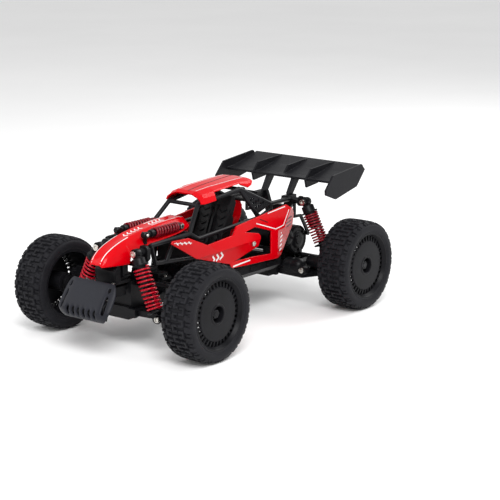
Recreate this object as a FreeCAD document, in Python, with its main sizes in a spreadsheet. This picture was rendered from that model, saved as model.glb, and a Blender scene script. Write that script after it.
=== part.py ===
"""Radio-controlled desert buggy with a roll cage, a rear wing and moving running gear.

Millimetres. X is across the car (+X its left side), the nose points to -Y, +Z is up, and the
tyres stand on Z = 0. Suspension at rest is fully extended, wheels straight ahead.
"""
import FreeCAD, Part
import math
import os

import Sketcher
from FreeCAD import Placement, Rotation, Vector

os.makedirs("parts", exist_ok=True)
doc = FreeCAD.newDocument("remote_control_car")
sheet = doc.addObject("Spreadsheet::Sheet", "Sizes")

DRIVING_SIZES = {
    # wheels and axles
    "front_axle_y": -98,
    "rear_axle_y": 118,
    "axle_height": 41,
    "wheel_offset": 84,
    "tyre_radius": 41,
    "tyre_width": 32,
    "bead_radius": 30.5,
    "rim_wall": 2.5,
    "disc_plane": 12,
    "axle_radius": 2.5,
    "running_gap": 0.05,
    "nut_radius": 4.0,
    # suspension
    "pivot_height": 31.5,
    "pin_radius": 1.5,
    "front_pivot": 16,
    "rear_pivot": 18,
    "arm_reach": 38.5,
    "arm_thickness": 5,
    "upper_link_height": 56,
    "kingpin_offset": 64,
    "steering_arm": 18,
    "steering_height": 49.4,
    "front_shock_y": -112.5,
    "front_shock_top_x": 21,
    "front_shock_top_z": 83.4,
    "front_shock_foot_x": 45,
    "front_shock_foot_z": 31.8,
    "rear_shock_y": 100,
    "rear_shock_top_x": 40,
    "rear_shock_top_z": 96.3,
    "rear_shock_foot_x": 62,
    "rear_shock_foot_z": 54,
    "shock_body_radius": 5.2,
    "spring_seat_drop": 11,
    "shock_rod_radius": 1.5,
    "spring_radius": 6.4,
    "spring_wire": 0.8,
    "spring_turns": 10,
    # chassis, cage and body panels
    "floor_height": 36,
    "floor_half_width": 25,
    "sill_half_width": 33,
    "sill_height": 49,
    "tub_front_y": -58,
    "tub_rear_y": 72,
    "wall": 2.2,
    "panel_skin": 1.6,
    "side_panel_x": 34,
    "side_panel_thickness": 3,
    "cage_tube_radius": 2,
    "cage_half_width": 24,
    "wing_half_span": 63,
    "endplate_thickness": 2,
    # drive
    "motor_radius": 11.5,
    "motor_y": 92.6,
    "motor_z": 61.9,
    "gear_y": 107,
    "gear_z": 57.5,
    "gear_module": 0.684,
    "gear_teeth": 32,
    "pinion_teeth": 12,
}


class Size:
    """A number together with the spreadsheet expression that gives it."""

    def __init__(self, value, text):
        self.value = float(value)
        self.text = text

    def __add__(self, other):
        return Size(self.value + number(other), f"({self.text} + {text(other)})")

    __radd__ = __add__

    def __sub__(self, other):
        return Size(self.value - number(other), f"({self.text} - {text(other)})")

    def __rsub__(self, other):
        return Size(number(other) - self.value, f"({text(other)} - {self.text})")

    def __mul__(self, other):
        return Size(self.value * number(other), f"({self.text} * {text(other)})")

    __rmul__ = __mul__

    def __truediv__(self, other):
        return Size(self.value / number(other), f"({self.text} / {text(other)})")

    def __neg__(self):
        return Size(-self.value, f"(-1 * {self.text})")


def number(size):
    return size.value if isinstance(size, Size) else float(size)


def text(size):
    return size.text if isinstance(size, Size) else f"({float(size)})"


def write_sheet():
    """Fills the spreadsheet and returns each alias as a Size."""
    sizes = {}
    for row, (alias, value) in enumerate(DRIVING_SIZES.items(), start=1):
        sheet.set(f"A{row}", alias)
        sheet.set(f"B{row}", str(value))
        sheet.setAlias(f"B{row}", alias)
        sizes[alias] = Size(value, f"Sizes.{alias}")
    doc.recompute()
    return sizes


S = write_sheet()
SIDES = {"left": 1, "right": -1}
nodes = []


# ---------------------------------------------------------------- building blocks

def new_body(name):
    body = doc.addObject("PartDesign::Body", name)
    body.Label = name
    body.AllowCompound = True
    nodes.append(body)
    return body


def origin_part(body, role):
    return next(item for item in body.Origin.OriginFeatures if item.Role == role)


def place(obj, x=0, y=0, z=0, axis=None, angle=0):
    """Binds an object's placement to sizes."""
    if axis is not None:
        obj.Placement = Placement(Vector(0, 0, 0), Rotation(Vector(*axis), number(angle)))
        obj.setExpression("Placement.Rotation.Angle", text(angle))
    obj.setExpression("Placement.Base.x", text(x))
    obj.setExpression("Placement.Base.y", text(y))
    obj.setExpression("Placement.Base.z", text(z))


def new_sketch(body, plane, start):
    """A sketch parallel to one of the body's own planes, at a distance along the axis."""
    sketch = body.newObject("Sketcher::SketchObject", f"{body.Name}_{plane}_profile")
    sketch.AttachmentSupport = [(origin_part(body, f"{plane}_Plane"), "")]
    sketch.MapMode = "FlatFace"
    along_normal = -1 if plane == "XZ" else 1
    sketch.setExpression("AttachmentOffset.Base.z", text(start * along_normal))
    return sketch


def hold_point(sketch, geometry, place_on_it, point):
    """Ties one point of a sketch to its coordinates."""
    for kind, size in zip(("DistanceX", "DistanceY"), point):
        constraint = Sketcher.Constraint(kind, -1, 1, geometry, place_on_it, number(size))
        index = sketch.addConstraint(constraint)
        sketch.setExpression(f"Constraints[{index}]", text(size))


def draw_outline(sketch, points):
    """A closed straight-sided outline with every corner dimensioned."""
    corners = [Vector(number(a), number(b), 0) for a, b in points]
    following = corners[1:] + corners[:1]
    first = sketch.GeometryCount
    sketch.addGeometry([Part.LineSegment(a, b) for a, b in zip(corners, following)], False)
    count = len(points)
    for index in range(count):
        joint = Sketcher.Constraint("Coincident", first + index, 2, first + (index + 1) % count, 1)
        sketch.addConstraint(joint)
    for index, point in enumerate(points):
        hold_point(sketch, first + index, 1, point)


def draw_circle(sketch, centre, radius):
    middle = Vector(number(centre[0]), number(centre[1]), 0)
    index = sketch.addGeometry(Part.Circle(middle, Vector(0, 0, 1), number(radius)), False)
    hold_point(sketch, index, 3, centre)
    constraint = sketch.addConstraint(Sketcher.Constraint("Radius", index, number(radius)))
    sketch.setExpression(f"Constraints[{constraint}]", text(radius))


def extrude(body, kind, sketch, plane, length):
    """Pads or pockets a sketch towards the positive axis."""
    feature = body.newObject(f"PartDesign::{kind}", f"{body.Name}_{kind}")
    feature.Profile = sketch
    feature.setExpression("Length", text(length))
    feature.Reversed = (plane == "XZ") == (kind == "Pad")
    return feature


def prism(body, plane, points, start, length, kind="Pad"):
    sketch = new_sketch(body, plane, start)
    draw_outline(sketch, points)
    return extrude(body, kind, sketch, plane, length)


def rod(body, plane, centre, radius, start, length, kind="Pad"):
    sketch = new_sketch(body, plane, start)
    draw_circle(sketch, centre, radius)
    return extrude(body, kind, sketch, plane, length)


def cut_prism(body, plane, points, start, length):
    return prism(body, plane, points, start, length, "Pocket")


def cut_rod(body, plane, centre, radius, start, length):
    return rod(body, plane, centre, radius, start, length, "Pocket")


def box(body, x0, x1, y0, y1, z0, z1, kind="Pad"):
    return prism(body, "XY", [(x0, y0), (x1, y0), (x1, y1), (x0, y1)], z0, z1 - z0, kind)


def revolve(body, plane, axis, points, kind="Revolution"):
    sketch = new_sketch(body, plane, 0)
    draw_outline(sketch, points)
    feature = body.newObject(f"PartDesign::{kind}", f"{body.Name}_{kind}")
    feature.Profile = sketch
    feature.ReferenceAxis = (sketch, [axis])
    feature.Angle = 360
    return feature


def repeat_around(body, feature, axis, count):
    pattern = body.newObject("PartDesign::PolarPattern", f"{body.Name}_ring")
    pattern.Originals = [feature]
    pattern.Axis = (origin_part(body, f"{axis}_Axis"), [""])
    pattern.Angle = 360
    pattern.Occurrences = count
    body.Tip = pattern
    return pattern


def loft(body, plane, sections):
    """A ruled solid through outlines: sections are (distance, points)."""
    sketches = []
    for distance, points in sections:
        sketch = new_sketch(body, plane, distance)
        draw_outline(sketch, points)
        sketches.append(sketch)
    feature = body.newObject("PartDesign::AdditiveLoft", f"{body.Name}_loft")
    feature.Profile = sketches[0]
    feature.Sections = sketches[1:]
    feature.Ruled = True
    return feature


def mirrored(side, points):
    """Outline points on one side of the car, with X times the side's sign."""
    return [(side * x, y) for x, y in points]


def span(side, near, far):
    """The start and length, along X, of something between two distances from the middle."""
    start = near if side > 0 else -1 * far
    return start, far - near


def new_solid(name, shape):
    solid = doc.addObject("Part::Feature", name)
    solid.Label = name
    solid.Shape = shape
    solid.Placement = Placement()
    nodes.append(solid)
    return solid


def tube_through(points, radius):
    """A round bar along straight legs with ball corners."""
    pieces = []
    for start, end in zip(points, points[1:]):
        leg = end - start
        pieces.append(Part.makeCylinder(radius, leg.Length, start, leg))
    for point in points[1:-1]:
        pieces.append(Part.makeSphere(radius, point))
    return pieces


# ---------------------------------------------------------------- wheels

def tyre(name, side, axle_y):
    """Carcass with two tread grooves and staggered shoulder lugs."""
    body = new_body(name)
    half = S["tyre_width"] / 2
    tread = S["tyre_radius"]
    bead = S["bead_radius"]
    profile = [
        (-half + 1, bead), (-half, bead + 2), (-half, bead + 6), (-half + 1.8, tread - 1.4),
        (-half + 4, tread - 0.4), (-6.4, tread - 0.1), (-6.2, tread - 1.8), (-4.8, tread - 1.8),
        (-4.6, tread), (4.6, tread), (4.8, tread - 1.8), (6.2, tread - 1.8),
        (6.4, tread - 0.1), (half - 4, tread - 0.4), (half - 1.8, tread - 1.4),
        (half, bead + 6), (half, bead + 2), (half - 1, bead),
    ]
    revolve(body, "XY", "H_Axis", profile)
    lug_count = 30
    slot = [(-1.4, tread - 1.8), (1.4, tread - 1.8), (1.4, tread + 1), (-1.4, tread + 1)]
    left_slot = cut_prism(body, "YZ", slot, 7, 10)
    repeat_around(body, left_slot, "X", lug_count)
    right_slot = cut_prism(body, "YZ", slot, -17, 10)
    repeat_around(body, right_slot, "X", lug_count)
    place(body, side * S["wheel_offset"], axle_y, S["axle_height"])


def rim(name, side, axle_y):
    """Deep dish: barrel, flat slotted disc near the outer face, and hub."""
    body = new_body(name)
    half = S["tyre_width"] / 2 - 1
    bead = S["bead_radius"]
    inner = bead - S["rim_wall"]
    face = S["disc_plane"]
    bore = S["axle_radius"] + S["running_gap"]
    hub_radius = 8.5
    recess_radius = 6.8
    recess_floor = 6
    profile = [
        (-half, inner), (-half, bead), (half, bead), (half, bead - 1.4), (face + 0.6, inner - 0.8),
        (face, inner - 1.8), (face, 22), (face + 0.8, 21.5), (face + 0.8, 7.4),
        (face + 0.2, recess_radius), (recess_floor, recess_radius), (recess_floor, bore),
        (-9, bore), (-9, hub_radius), (face - 2, hub_radius), (face - 2, inner),
    ]
    revolve(body, "XY", "H_Axis", profile)
    slot = [(-1.1, 22.6), (1.1, 22.6), (1.3, 25.8), (-1.3, 25.8)]
    first_slot = cut_prism(body, "YZ", slot, face - 3, 6)
    repeat_around(body, first_slot, "X", 36)
    place(body, side * S["wheel_offset"], axle_y, S["axle_height"], (0, 0, 1), 90 - 90 * side)


def wheel_nut(name, side, axle_y):
    """Flanged hexagon nut in the hub recess."""
    body = new_body(name)
    radius = S["nut_radius"]
    corners = []
    for step in range(6):
        angle = math.radians(60 * step)
        corners.append((radius * math.cos(angle), radius * math.sin(angle)))
    rod(body, "YZ", (0, 0), 5, 6.3, 0.8)
    prism(body, "YZ", corners, 7.1, 3.6)
    cut_rod(body, "YZ", (0, 0), S["axle_radius"] + 0.02, 6, 6)
    place(body, side * S["wheel_offset"], axle_y, S["axle_height"], (0, 0, 1), 90 - 90 * side)


# ---------------------------------------------------------------- shock absorbers

def shock(corner, side, top, foot, shock_y):
    """Cylinder, rod and spring between a tower pin and an arm pin.

    top and foot are (x, z). Each piece is drawn hanging from the top pin, then leaned outwards.
    """
    drop = top[1] - foot[1]
    reach = foot[0] - top[0]
    length_text = f"sqrt(({text(drop)})^2 + ({text(reach)})^2)"
    length = Size(math.hypot(number(drop), number(reach)), length_text)
    lean = Size(
        math.degrees(math.atan2(number(reach), number(drop))),
        f"atan2({text(reach)}; {text(drop)}) / 1deg",
    )
    eye_bore = S["pin_radius"] + 0.3
    foot_bore = S["pin_radius"] + 0.5
    body_radius = S["shock_body_radius"]
    rod_radius = S["shock_rod_radius"]
    seat_radius = S["spring_radius"] + 1.1
    seat_height = S["spring_seat_drop"]
    body_end = length * 0.52
    cup_height = length - 6.6
    axis = (0, -side, 0)
    x, z = side * top[0], top[1]

    cylinder = new_body(f"{corner}_shock_cylinder")
    profile = [
        (0, -4), (5, -4), (5.8, -4.8), (5.8, -seat_height + 1.4), (seat_radius, -seat_height + 1.2),
        (seat_radius, -seat_height), (body_radius, -seat_height),
        (body_radius, -body_end + 2), (body_radius - 0.6, -body_end),
        (rod_radius + S["running_gap"], -body_end), (rod_radius + S["running_gap"], -body_end + 2),
        (body_radius - 1.2, -body_end + 2), (body_radius - 1.2, -seat_height), (0, -seat_height),
    ]
    revolve(cylinder, "XZ", "V_Axis", profile)
    rod(cylinder, "XZ", (0, 0), 4.2, -2.5, 5)
    box(cylinder, -3, 3, -2.5, 2.5, -5, -2.5)
    cut_rod(cylinder, "XZ", (0, 0), eye_bore, -5, 10)
    place(cylinder, x, shock_y, z, axis, lean)

    piston = new_body(f"{corner}_shock_rod")
    rod_top = body_end - 3
    revolve(piston, "XZ", "V_Axis", [
        (0, -rod_top + 1.6), (body_radius - 1.6, -rod_top + 1.6), (body_radius - 1.6, -rod_top - 0.2),
        (rod_radius, -rod_top - 0.2), (rod_radius, -cup_height + 1.6), (3, -cup_height + 1.6),
        (3, -cup_height), (seat_radius, -cup_height), (seat_radius, -cup_height - 1.2),
        (4.4, -cup_height - 2), (0, -cup_height - 2),
    ])
    rod(piston, "XZ", (0, -length), 4.2, -2.5, 5)
    box(piston, -2.6, 2.6, -2.5, 2.5, -length + 2.4, -cup_height - 1)
    cut_rod(piston, "XZ", (0, -length), foot_bore, -5, 10)
    place(piston, x, shock_y, z, axis, lean)

    wire = number(S["spring_wire"])
    low = number(-cup_height) + wire + 0.1
    high = -number(seat_height) - wire - 0.1
    turns = number(S["spring_turns"])
    radius = number(S["spring_radius"])
    helix = Part.makeHelix((high - low) / turns, high - low, radius)
    section = Part.Wire(Part.makeCircle(wire, Vector(radius, 0, 0), Vector(0, 1, 0)))
    coil = Part.Wire(helix).makePipeShell([section], True, True)
    spring = new_solid(f"{corner}_spring", coil)
    lean_back = Placement(Vector(number(x), number(shock_y), number(z)),
                          Rotation(Vector(*axis), number(lean)))
    spring.Placement = lean_back.multiply(Placement(Vector(0, 0, low), Rotation()))


# ---------------------------------------------------------------- front corner

def front_lower_arm(name, side):
    """Wishbone with an inboard barrel, an outboard fork and the shock's lower pin."""
    body = new_body(name)
    y = S["front_axle_y"]
    z = S["pivot_height"]
    low = z - S["arm_thickness"] / 2
    inner = S["front_pivot"]
    outer = inner + S["arm_reach"]
    fork = outer - 5
    plate = [(inner, y - 12), (fork, y - 9), (fork, y + 9), (inner, y + 12)]
    prism(body, "XY", mirrored(side, plate), low, S["arm_thickness"])
    for near, far in ((-9, -5.4), (5.4, 9)):
        ear = [(fork, y + near), (outer + 2, y + near), (outer + 2, y + far), (fork, y + far)]
        prism(body, "XY", mirrored(side, ear), low, S["arm_thickness"])
    rod(body, "XZ", (side * inner, z), 3.2, y - 12, 24)
    window = [(inner + 7, y - 7), (fork - 8, y - 4.5), (fork - 8, y + 4.5), (inner + 7, y + 7)]
    cut_prism(body, "XY", mirrored(side, window), low - 1, S["arm_thickness"] + 2)
    cut_rod(body, "XZ", (side * inner, z), S["pin_radius"] + S["running_gap"], y - 13, 26)
    rod(body, "XZ", (side * outer, z), S["pin_radius"], y - 9, 18)
    foot = (side * S["front_shock_foot_x"], S["front_shock_foot_z"])
    shock_y = S["front_shock_y"]
    rod(body, "XZ", foot, 3.2, shock_y + 3.2, y - 7 - shock_y - 3.2)
    rod(body, "XZ", foot, S["pin_radius"], shock_y - 3.2, 8)
    rod(body, "XZ", foot, 2.8, shock_y - 4.6, 1.6)


def front_upper_arm(name, side):
    """Camber link with an eye at each end."""
    body = new_body(name)
    y = S["front_axle_y"]
    z = S["upper_link_height"]
    inner = S["front_pivot"]
    outer = inner + S["arm_reach"]
    start, length = span(side, inner + 2, outer - 2)
    rod(body, "YZ", (y, z), 1.8, start, length)
    for end in (inner, outer):
        rod(body, "XZ", (side * end, z), 2.7, y - 2.2, 4.4)
        cut_rod(body, "XZ", (side * end, z), S["pin_radius"] + 0.1, y - 3, 6)


def front_c_hub(name, side):
    """Upright carrier whose two lugs hold the kingpins."""
    body = new_body(name)
    y = S["front_axle_y"]
    pivot_z = S["pivot_height"]
    link_z = S["upper_link_height"]
    outer = S["front_pivot"] + S["arm_reach"]
    king = S["kingpin_offset"]
    axle = S["axle_height"]
    back, front = outer - 2.5, outer + 3
    spine = [(back, pivot_z - 3.6), (front, pivot_z - 3.6), (front, link_z + 3.4), (back, link_z + 3.4)]
    prism(body, "XZ", mirrored(side, spine), y - 5, 10)
    start, length = span(side, back - 1, front)
    cut_prism(body, "YZ", [(y - 2.6, link_z - 3.6), (y + 2.6, link_z - 3.6), (y + 2.6, link_z + 6),
                           (y - 2.6, link_z + 6)], start, length)
    pin_bore = S["pin_radius"] + S["running_gap"]
    cut_rod(body, "XZ", (side * outer, pivot_z), pin_bore, y - 6, 12)
    rod(body, "XZ", (side * outer, link_z), S["pin_radius"] - 0.2, y - 5, 10)
    for low in (axle - 13.6, axle + 10.2):
        lug = [(front - 0.5, y - 4.5), (king, y - 4.5), (king, y + 4.5), (front - 0.5, y + 4.5)]
        prism(body, "XY", mirrored(side, lug), low, 3.4)
        rod(body, "XY", (side * king, y), 4.5, low, 3.4)
    rod(body, "XY", (side * king, y), S["pin_radius"], axle - 13.6, 9)
    rod(body, "XY", (side * king, y), S["pin_radius"], axle + 4.6, 9)
    rod(body, "XY", (side * king, y), 2.6, axle + 13.6, 1.4)
    rod(body, "XY", (side * king, y), 2.6, axle - 15, 1.4)


def front_knuckle(name, side):
    """Steered upright with the stub axle and a trailing steering arm."""
    body = new_body(name)
    y = S["front_axle_y"]
    axle = S["axle_height"]
    king = S["kingpin_offset"]
    rod(body, "XY", (side * king, y), 3.6, axle - 9.6, 19.2)
    start, length = span(side, king + 1, king + 6)
    rod(body, "YZ", (y, axle), 9, start, length)
    start, length = span(side, king + 5, king + 10.6)
    rod(body, "YZ", (y, axle), 5, start, length)
    start, length = span(side, king + 10, king + 31)
    rod(body, "YZ", (y, axle), S["axle_radius"], start, length)
    arm_end = y + S["steering_arm"]
    arm = [(king - 2.4, y), (king + 2.4, y), (king + 2.4, arm_end), (king - 2.4, arm_end)]
    arm_low = S["steering_height"] - 7.4
    prism(body, "XY", mirrored(side, arm), arm_low, 4)
    rod(body, "XY", (side * king, arm_end), 3.2, arm_low, 4)
    pin_bore = S["pin_radius"] + S["running_gap"]
    cut_rod(body, "XY", (side * king, y), pin_bore, axle - 10, 5.6)
    cut_rod(body, "XY", (side * king, y), pin_bore, axle + 4.4, 5.6)


def tie_rod(name, side):
    """Track rod from the steering rack to a ball above the steering arm."""
    body = new_body(name)
    y = S["front_axle_y"] + S["steering_arm"]
    z = S["steering_height"]
    outer = S["kingpin_offset"]
    inner = outer - S["arm_reach"]
    start, length = span(side, inner + 1.8, outer - 1.5)
    rod(body, "YZ", (y, z), 1.5, start, length)
    start, length = span(side, outer - 9, outer - 2)
    rod(body, "YZ", (y, z), 2.2, start, length)
    rod(body, "XZ", (side * inner, z), 2.8, y - 1.9, 3.8)
    cut_rod(body, "XZ", (side * inner, z), S["pin_radius"], y - 3, 6)
    ball = body.newObject("PartDesign::AdditiveSphere", f"{name}_ball")
    ball.setExpression("Radius", text(2.8))
    place(ball, side * outer, y, z, (0, 0, 1), 90 - 90 * side)


# ---------------------------------------------------------------- rear corner

def rear_arm(name, side):
    """Trailing-edge wishbone with the hub carrier and the shock's lower pin moulded in."""
    body = new_body(name)
    axle_y = S["rear_axle_y"]
    axle = S["axle_height"]
    z = S["pivot_height"]
    low = z - S["arm_thickness"] / 2
    inner = S["rear_pivot"]
    outer = S["kingpin_offset"]
    front_y = axle_y - 34
    rear_y = axle_y + 16
    plate = [
        (inner, front_y), (50, axle_y - 36), (outer - 6, axle_y - 20), (outer + 1, axle_y - 9),
        (outer + 1, axle_y + 9), (outer - 8, rear_y), (inner, rear_y),
    ]
    prism(body, "XY", mirrored(side, plate), low, S["arm_thickness"])
    rim_low = low + S["arm_thickness"]
    edge = [(inner + 5, front_y), (50, axle_y - 36), (50, axle_y - 33.4), (inner + 5, front_y + 2.4)]
    prism(body, "XY", mirrored(side, edge), rim_low - 0.5, 3)
    rod(body, "XZ", (side * inner, z), 3.2, front_y, rear_y - front_y)
    for near, far in ((-26, -13), (-5, 9)):
        window = [(inner + 8, axle_y + near), (outer - 18, axle_y + near + 2),
                  (outer - 18, axle_y + far - 2), (inner + 8, axle_y + far)]
        cut_prism(body, "XY", mirrored(side, window), low - 1, S["arm_thickness"] + 1.5)
    pin_bore = S["pin_radius"] + S["running_gap"]
    cut_rod(body, "XZ", (side * inner, z), pin_bore, front_y - 1, rear_y - front_y + 2)
    start, length = span(side, outer - 3, outer + 4.5)
    rod(body, "YZ", (axle_y, axle), 9, start, length)
    web = [(axle_y - 8, low), (axle_y + 8, low), (axle_y + 6, axle), (axle_y - 6, axle)]
    start, length = span(side, outer - 3, outer + 1)
    prism(body, "YZ", web, start, length)
    start, length = span(side, outer - 5, outer + 6)
    cut_rod(body, "YZ", (axle_y, axle), S["axle_radius"] + S["running_gap"], start, length)
    start, length = span(side, 30, 48)
    rod(body, "YZ", (front_y + 3.1, z + 3.7), 5.3, start, length)
    rod(body, "XZ", (side * 50, z + 4.2), 4.1, front_y - 3, 7.3)
    foot = (side * S["rear_shock_foot_x"], S["rear_shock_foot_z"])
    shock_y = S["rear_shock_y"]
    foot_x = S["rear_shock_foot_x"]
    foot_z = S["rear_shock_foot_z"]
    bracket = [(foot_x - 8, rim_low - 1), (foot_x + 2.6, rim_low - 1), (foot_x + 2.6, foot_z + 2.4),
               (foot_x - 2.6, foot_z + 2.4)]
    prism(body, "XZ", mirrored(side, bracket), shock_y + 3.4, 4)
    rod(body, "XZ", foot, S["pin_radius"], shock_y - 3.2, 7)
    rod(body, "XZ", foot, 2.8, shock_y - 4.6, 1.6)


def rear_driveshaft(name, side):
    """Swing shaft: ball in the gearbox cup, shank, shoulder and wheel spigot."""
    body = new_body(name)
    wheel = S["wheel_offset"]
    shank = S["axle_radius"] - 0.5
    axle = S["axle_radius"]
    revolve(body, "XY", "H_Axis", [
        (15.9, 0), (15.9, 1.6), (16.6, 2.6), (17.4, 2.6), (18.2, shank), (55, shank), (56, 4.4),
        (60, 4.4), (60, axle), (wheel - 15, axle), (wheel - 15, 4.6), (wheel - 9.4, 4.6),
        (wheel - 9.4, axle), (wheel + 10.6, axle), (wheel + 11, axle - 0.4), (wheel + 11, 0),
    ])
    place(body, 0, S["rear_axle_y"], S["axle_height"], (0, 0, 1), 90 - 90 * side)


# ---------------------------------------------------------------- front end

def front_bulkhead(name):
    """Base with arm hinge pins, upper link clevises, and the shock tower."""
    body = new_body(name)
    y = S["front_axle_y"]
    z = S["pivot_height"]
    pivot = S["front_pivot"]
    link_z = S["upper_link_height"]
    shock_y = S["front_shock_y"]
    box(body, -12.5, 12.5, y - 15.6, y + 15.6, z - 6, z + 4.5)
    box(body, -12.5, 12.5, y - 12, y + 11, z + 4, link_z + 2)
    for side in SIDES.values():
        start, length = span(side, 12, pivot + 3.6)
        for near in (y - 15.6, y + 12.3):
            ear = [(near, z - 3.6), (near + 3.3, z - 3.6), (near + 3.3, z + 3.6), (near, z + 3.6)]
            prism(body, "YZ", ear, start, length)
        for near in (y - 4.5, y + 2.5):
            ear = [(near, link_z - 3), (near + 2, link_z - 3), (near + 2, link_z + 3), (near, link_z + 3)]
            prism(body, "YZ", ear, start, length)
        rod(body, "XZ", (side * pivot, z), S["pin_radius"], y - 15.6, 31.2)
        rod(body, "XZ", (side * pivot, link_z), S["pin_radius"] - 0.2, y - 4.5, 9)
    top_x = S["front_shock_top_x"]
    top_z = S["front_shock_top_z"]
    half = [(11, link_z - 4), (13, link_z + 8), (top_x + 5, top_z - 6), (top_x + 5, top_z + 3),
            (top_x + 3, top_z + 5), (top_x - 3, top_z + 5), (13, top_z - 11)]
    outline = half + [(-1 * a, b) for a, b in reversed(half)]
    prism(body, "XZ", outline, shock_y + 8.5, 4)
    hole = [(-7, link_z + 7), (7, link_z + 7), (9, top_z - 14), (-9, top_z - 14)]
    cut_prism(body, "XZ", hole, shock_y + 8, 5)
    for side in SIDES.values():
        top = (side * top_x, top_z)
        rod(body, "XZ", top, 3.4, shock_y + 3, 6)
        rod(body, "XZ", top, S["pin_radius"], shock_y - 3, 8)


def front_bumper(name):
    """Leaning skid plate with swept-back sides and lightening slots, on a bracket."""
    body = new_body(name)
    front = S["front_axle_y"] - 62
    half_width = 28.5
    sweep = 3.4
    outer = [(17.5, 64), (11, 56), (5, 48), (1.2, 42), (0, 38), (1.2, 34.6), (5, 31.4)]
    inner = [(7, 34), (3.6, 36.2), (3, 38), (4, 41), (7.6, 46.4), (13.4, 54.2), (19.8, 62)]
    plate = [(front + a, b) for a, b in outer + inner]
    prism(body, "YZ", plate, -19, 38)
    swept = [(a + sweep, b) for a, b in plate]
    for side in SIDES.values():
        prism(body, "YZ", swept, *span(side, 18.4, half_width))
        top = [(22, 65), (half_width + 0.5, 58), (half_width + 0.5, 65)]
        bottom = [(23.5, 30), (half_width + 0.5, 40), (half_width + 0.5, 30)]
        for corner in (top, bottom):
            cut_prism(body, "XZ", mirrored(side, corner), front - 1, 30)
        long_slot = [(20.4, 55), (23, 55), (24.6, 39), (22, 39)]
        cut_prism(body, "XZ", mirrored(side, long_slot), front - 1, 20)
        oval = [(19.6, 57.4), (21.6, 57.4), (22.6, 60.8), (20.6, 60.8)]
        cut_prism(body, "XZ", mirrored(side, oval), front - 1, 30)
    slot_pitch = 5.9
    for index in range(6):
        middle = (index - 2.5) * slot_pitch
        slot = [(middle - 1.2, 33.2), (middle + 1.2, 33.2), (middle + 1.2, 43), (middle - 1.2, 43)]
        cut_prism(body, "XZ", slot, front - 1, 14)
    arm = [(-9, front + 12), (9, front + 12), (9, S["front_axle_y"] - 12), (-9, S["front_axle_y"] - 12)]
    prism(body, "XY", arm, 51, 4)


def steering_servo(name):
    """Servo case, mounting ears and output boss."""
    body = new_body(name)
    y = S["front_axle_y"] + 30
    box(body, -11.5, 11.5, y - 6, y + 6, 44.2, 57)
    box(body, -16, 16, y - 6, y + 6, 52, 54)
    rod(body, "XY", (0, y), 5, 56.5, 2)
    rod(body, "XY", (0, y), 2, 58, 3.6)


def servo_horn(name):
    """Output arm with a slotted end."""
    body = new_body(name)
    y = S["front_axle_y"] + 30
    rod(body, "XY", (0, y), 4.4, 59, 2)
    prism(body, "XY", [(-4, y), (4, y), (3.2, y - 18.4), (-3.2, y - 18.4)], 59, 2)
    cut_rod(body, "XY", (0, y), 2.05, 58, 4)
    slot = [(-1.7, y - 9.4), (1.7, y - 9.4), (1.7, y - 16.4), (-1.7, y - 16.4)]
    cut_prism(body, "XY", slot, 58, 4)


def steering_link(name):
    """Sliding rack bar with a clevis at each end and a drive peg."""
    body = new_body(name)
    y = S["front_axle_y"] + S["steering_arm"]
    z = S["steering_height"]
    inner = S["kingpin_offset"] - S["arm_reach"]
    box(body, -inner + 4.5, inner - 4.5, y - 2, y + 2, z - 2, z + 2)
    for side in SIDES.values():
        start, length = span(side, inner - 5, inner + 3)
        for near, far in ((-4.3, -2.3), (2.3, 4.3)):
            ear = [(y + near, z - 3), (y + far, z - 3), (y + far, z + 3), (y + near, z + 3)]
            prism(body, "YZ", ear, start, length)
        start, length = span(side, inner - 6.2, inner - 3.6)
        block = [(y - 4.3, z - 3), (y + 4.3, z - 3), (y + 4.3, z + 3), (y - 4.3, z + 3)]
        prism(body, "YZ", block, start, length)
        rod(body, "XZ", (side * inner, z), S["pin_radius"] - 0.3, y - 4.3, 8.6)
    rod(body, "XY", (0, y), 1.2, z + 1.5, 10.6)


# ---------------------------------------------------------------- chassis

def chassis_tub(name):
    """Open tray with chamfered sills, a nose wedge, a tail tongue and a battery opening."""
    body = new_body(name)
    floor = S["floor_height"]
    low = S["floor_half_width"]
    wide = S["sill_half_width"]
    top = S["sill_height"]
    wall = S["wall"]
    front, rear = S["tub_front_y"], S["tub_rear_y"]
    section = [(-low, floor), (low, floor), (wide, floor + 6), (wide, top), (-wide, top),
               (-wide, floor + 6)]
    prism(body, "XZ", section, front, rear - front)
    hollow = [(-low + 1, floor + wall), (low - 1, floor + wall), (wide - wall, floor + 7.4),
              (wide - wall, top + 1), (-wide + wall, top + 1), (-wide + wall, floor + 7.4)]
    cut_prism(body, "XZ", hollow, front + wall, rear - front - 2 * wall)
    nose = [(S["front_axle_y"] + 15.8, 26), (front + 0.5, floor), (front + 0.5, 44),
            (S["front_axle_y"] + 15.8, 35.6)]
    prism(body, "YZ", nose, -12, 24)
    tail = [(rear - 0.5, floor), (79.6, floor - 6), (79.6, floor + 4), (rear - 0.5, top - 3)]
    prism(body, "YZ", tail, -13.5, 27)
    cut_prism(body, "XY", [(-21, -44), (21, -44), (21, 32), (-21, 32)], floor - 1, wall + 2)
    for side in SIDES.values():
        for rib in range(5):
            rib_y = -46 + 24 * rib
            start, length = span(side, wide - 0.2, wide + 0.7)
            bar = [(rib_y, 43), (rib_y + 12, 43), (rib_y + 12, 47), (rib_y, 47)]
            prism(body, "YZ", bar, start, length)


def battery_door(name):
    """Ribbed cover under the tub with a thumb recess."""
    body = new_body(name)
    floor = S["floor_height"]
    box(body, -20.8, 20.8, -43.8, 31.8, floor, floor + S["wall"])
    for rib in range(4):
        rib_y = -34 + 16 * rib
        box(body, -15, 15, rib_y, rib_y + 2, floor - 0.8, floor + 0.1)


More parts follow.
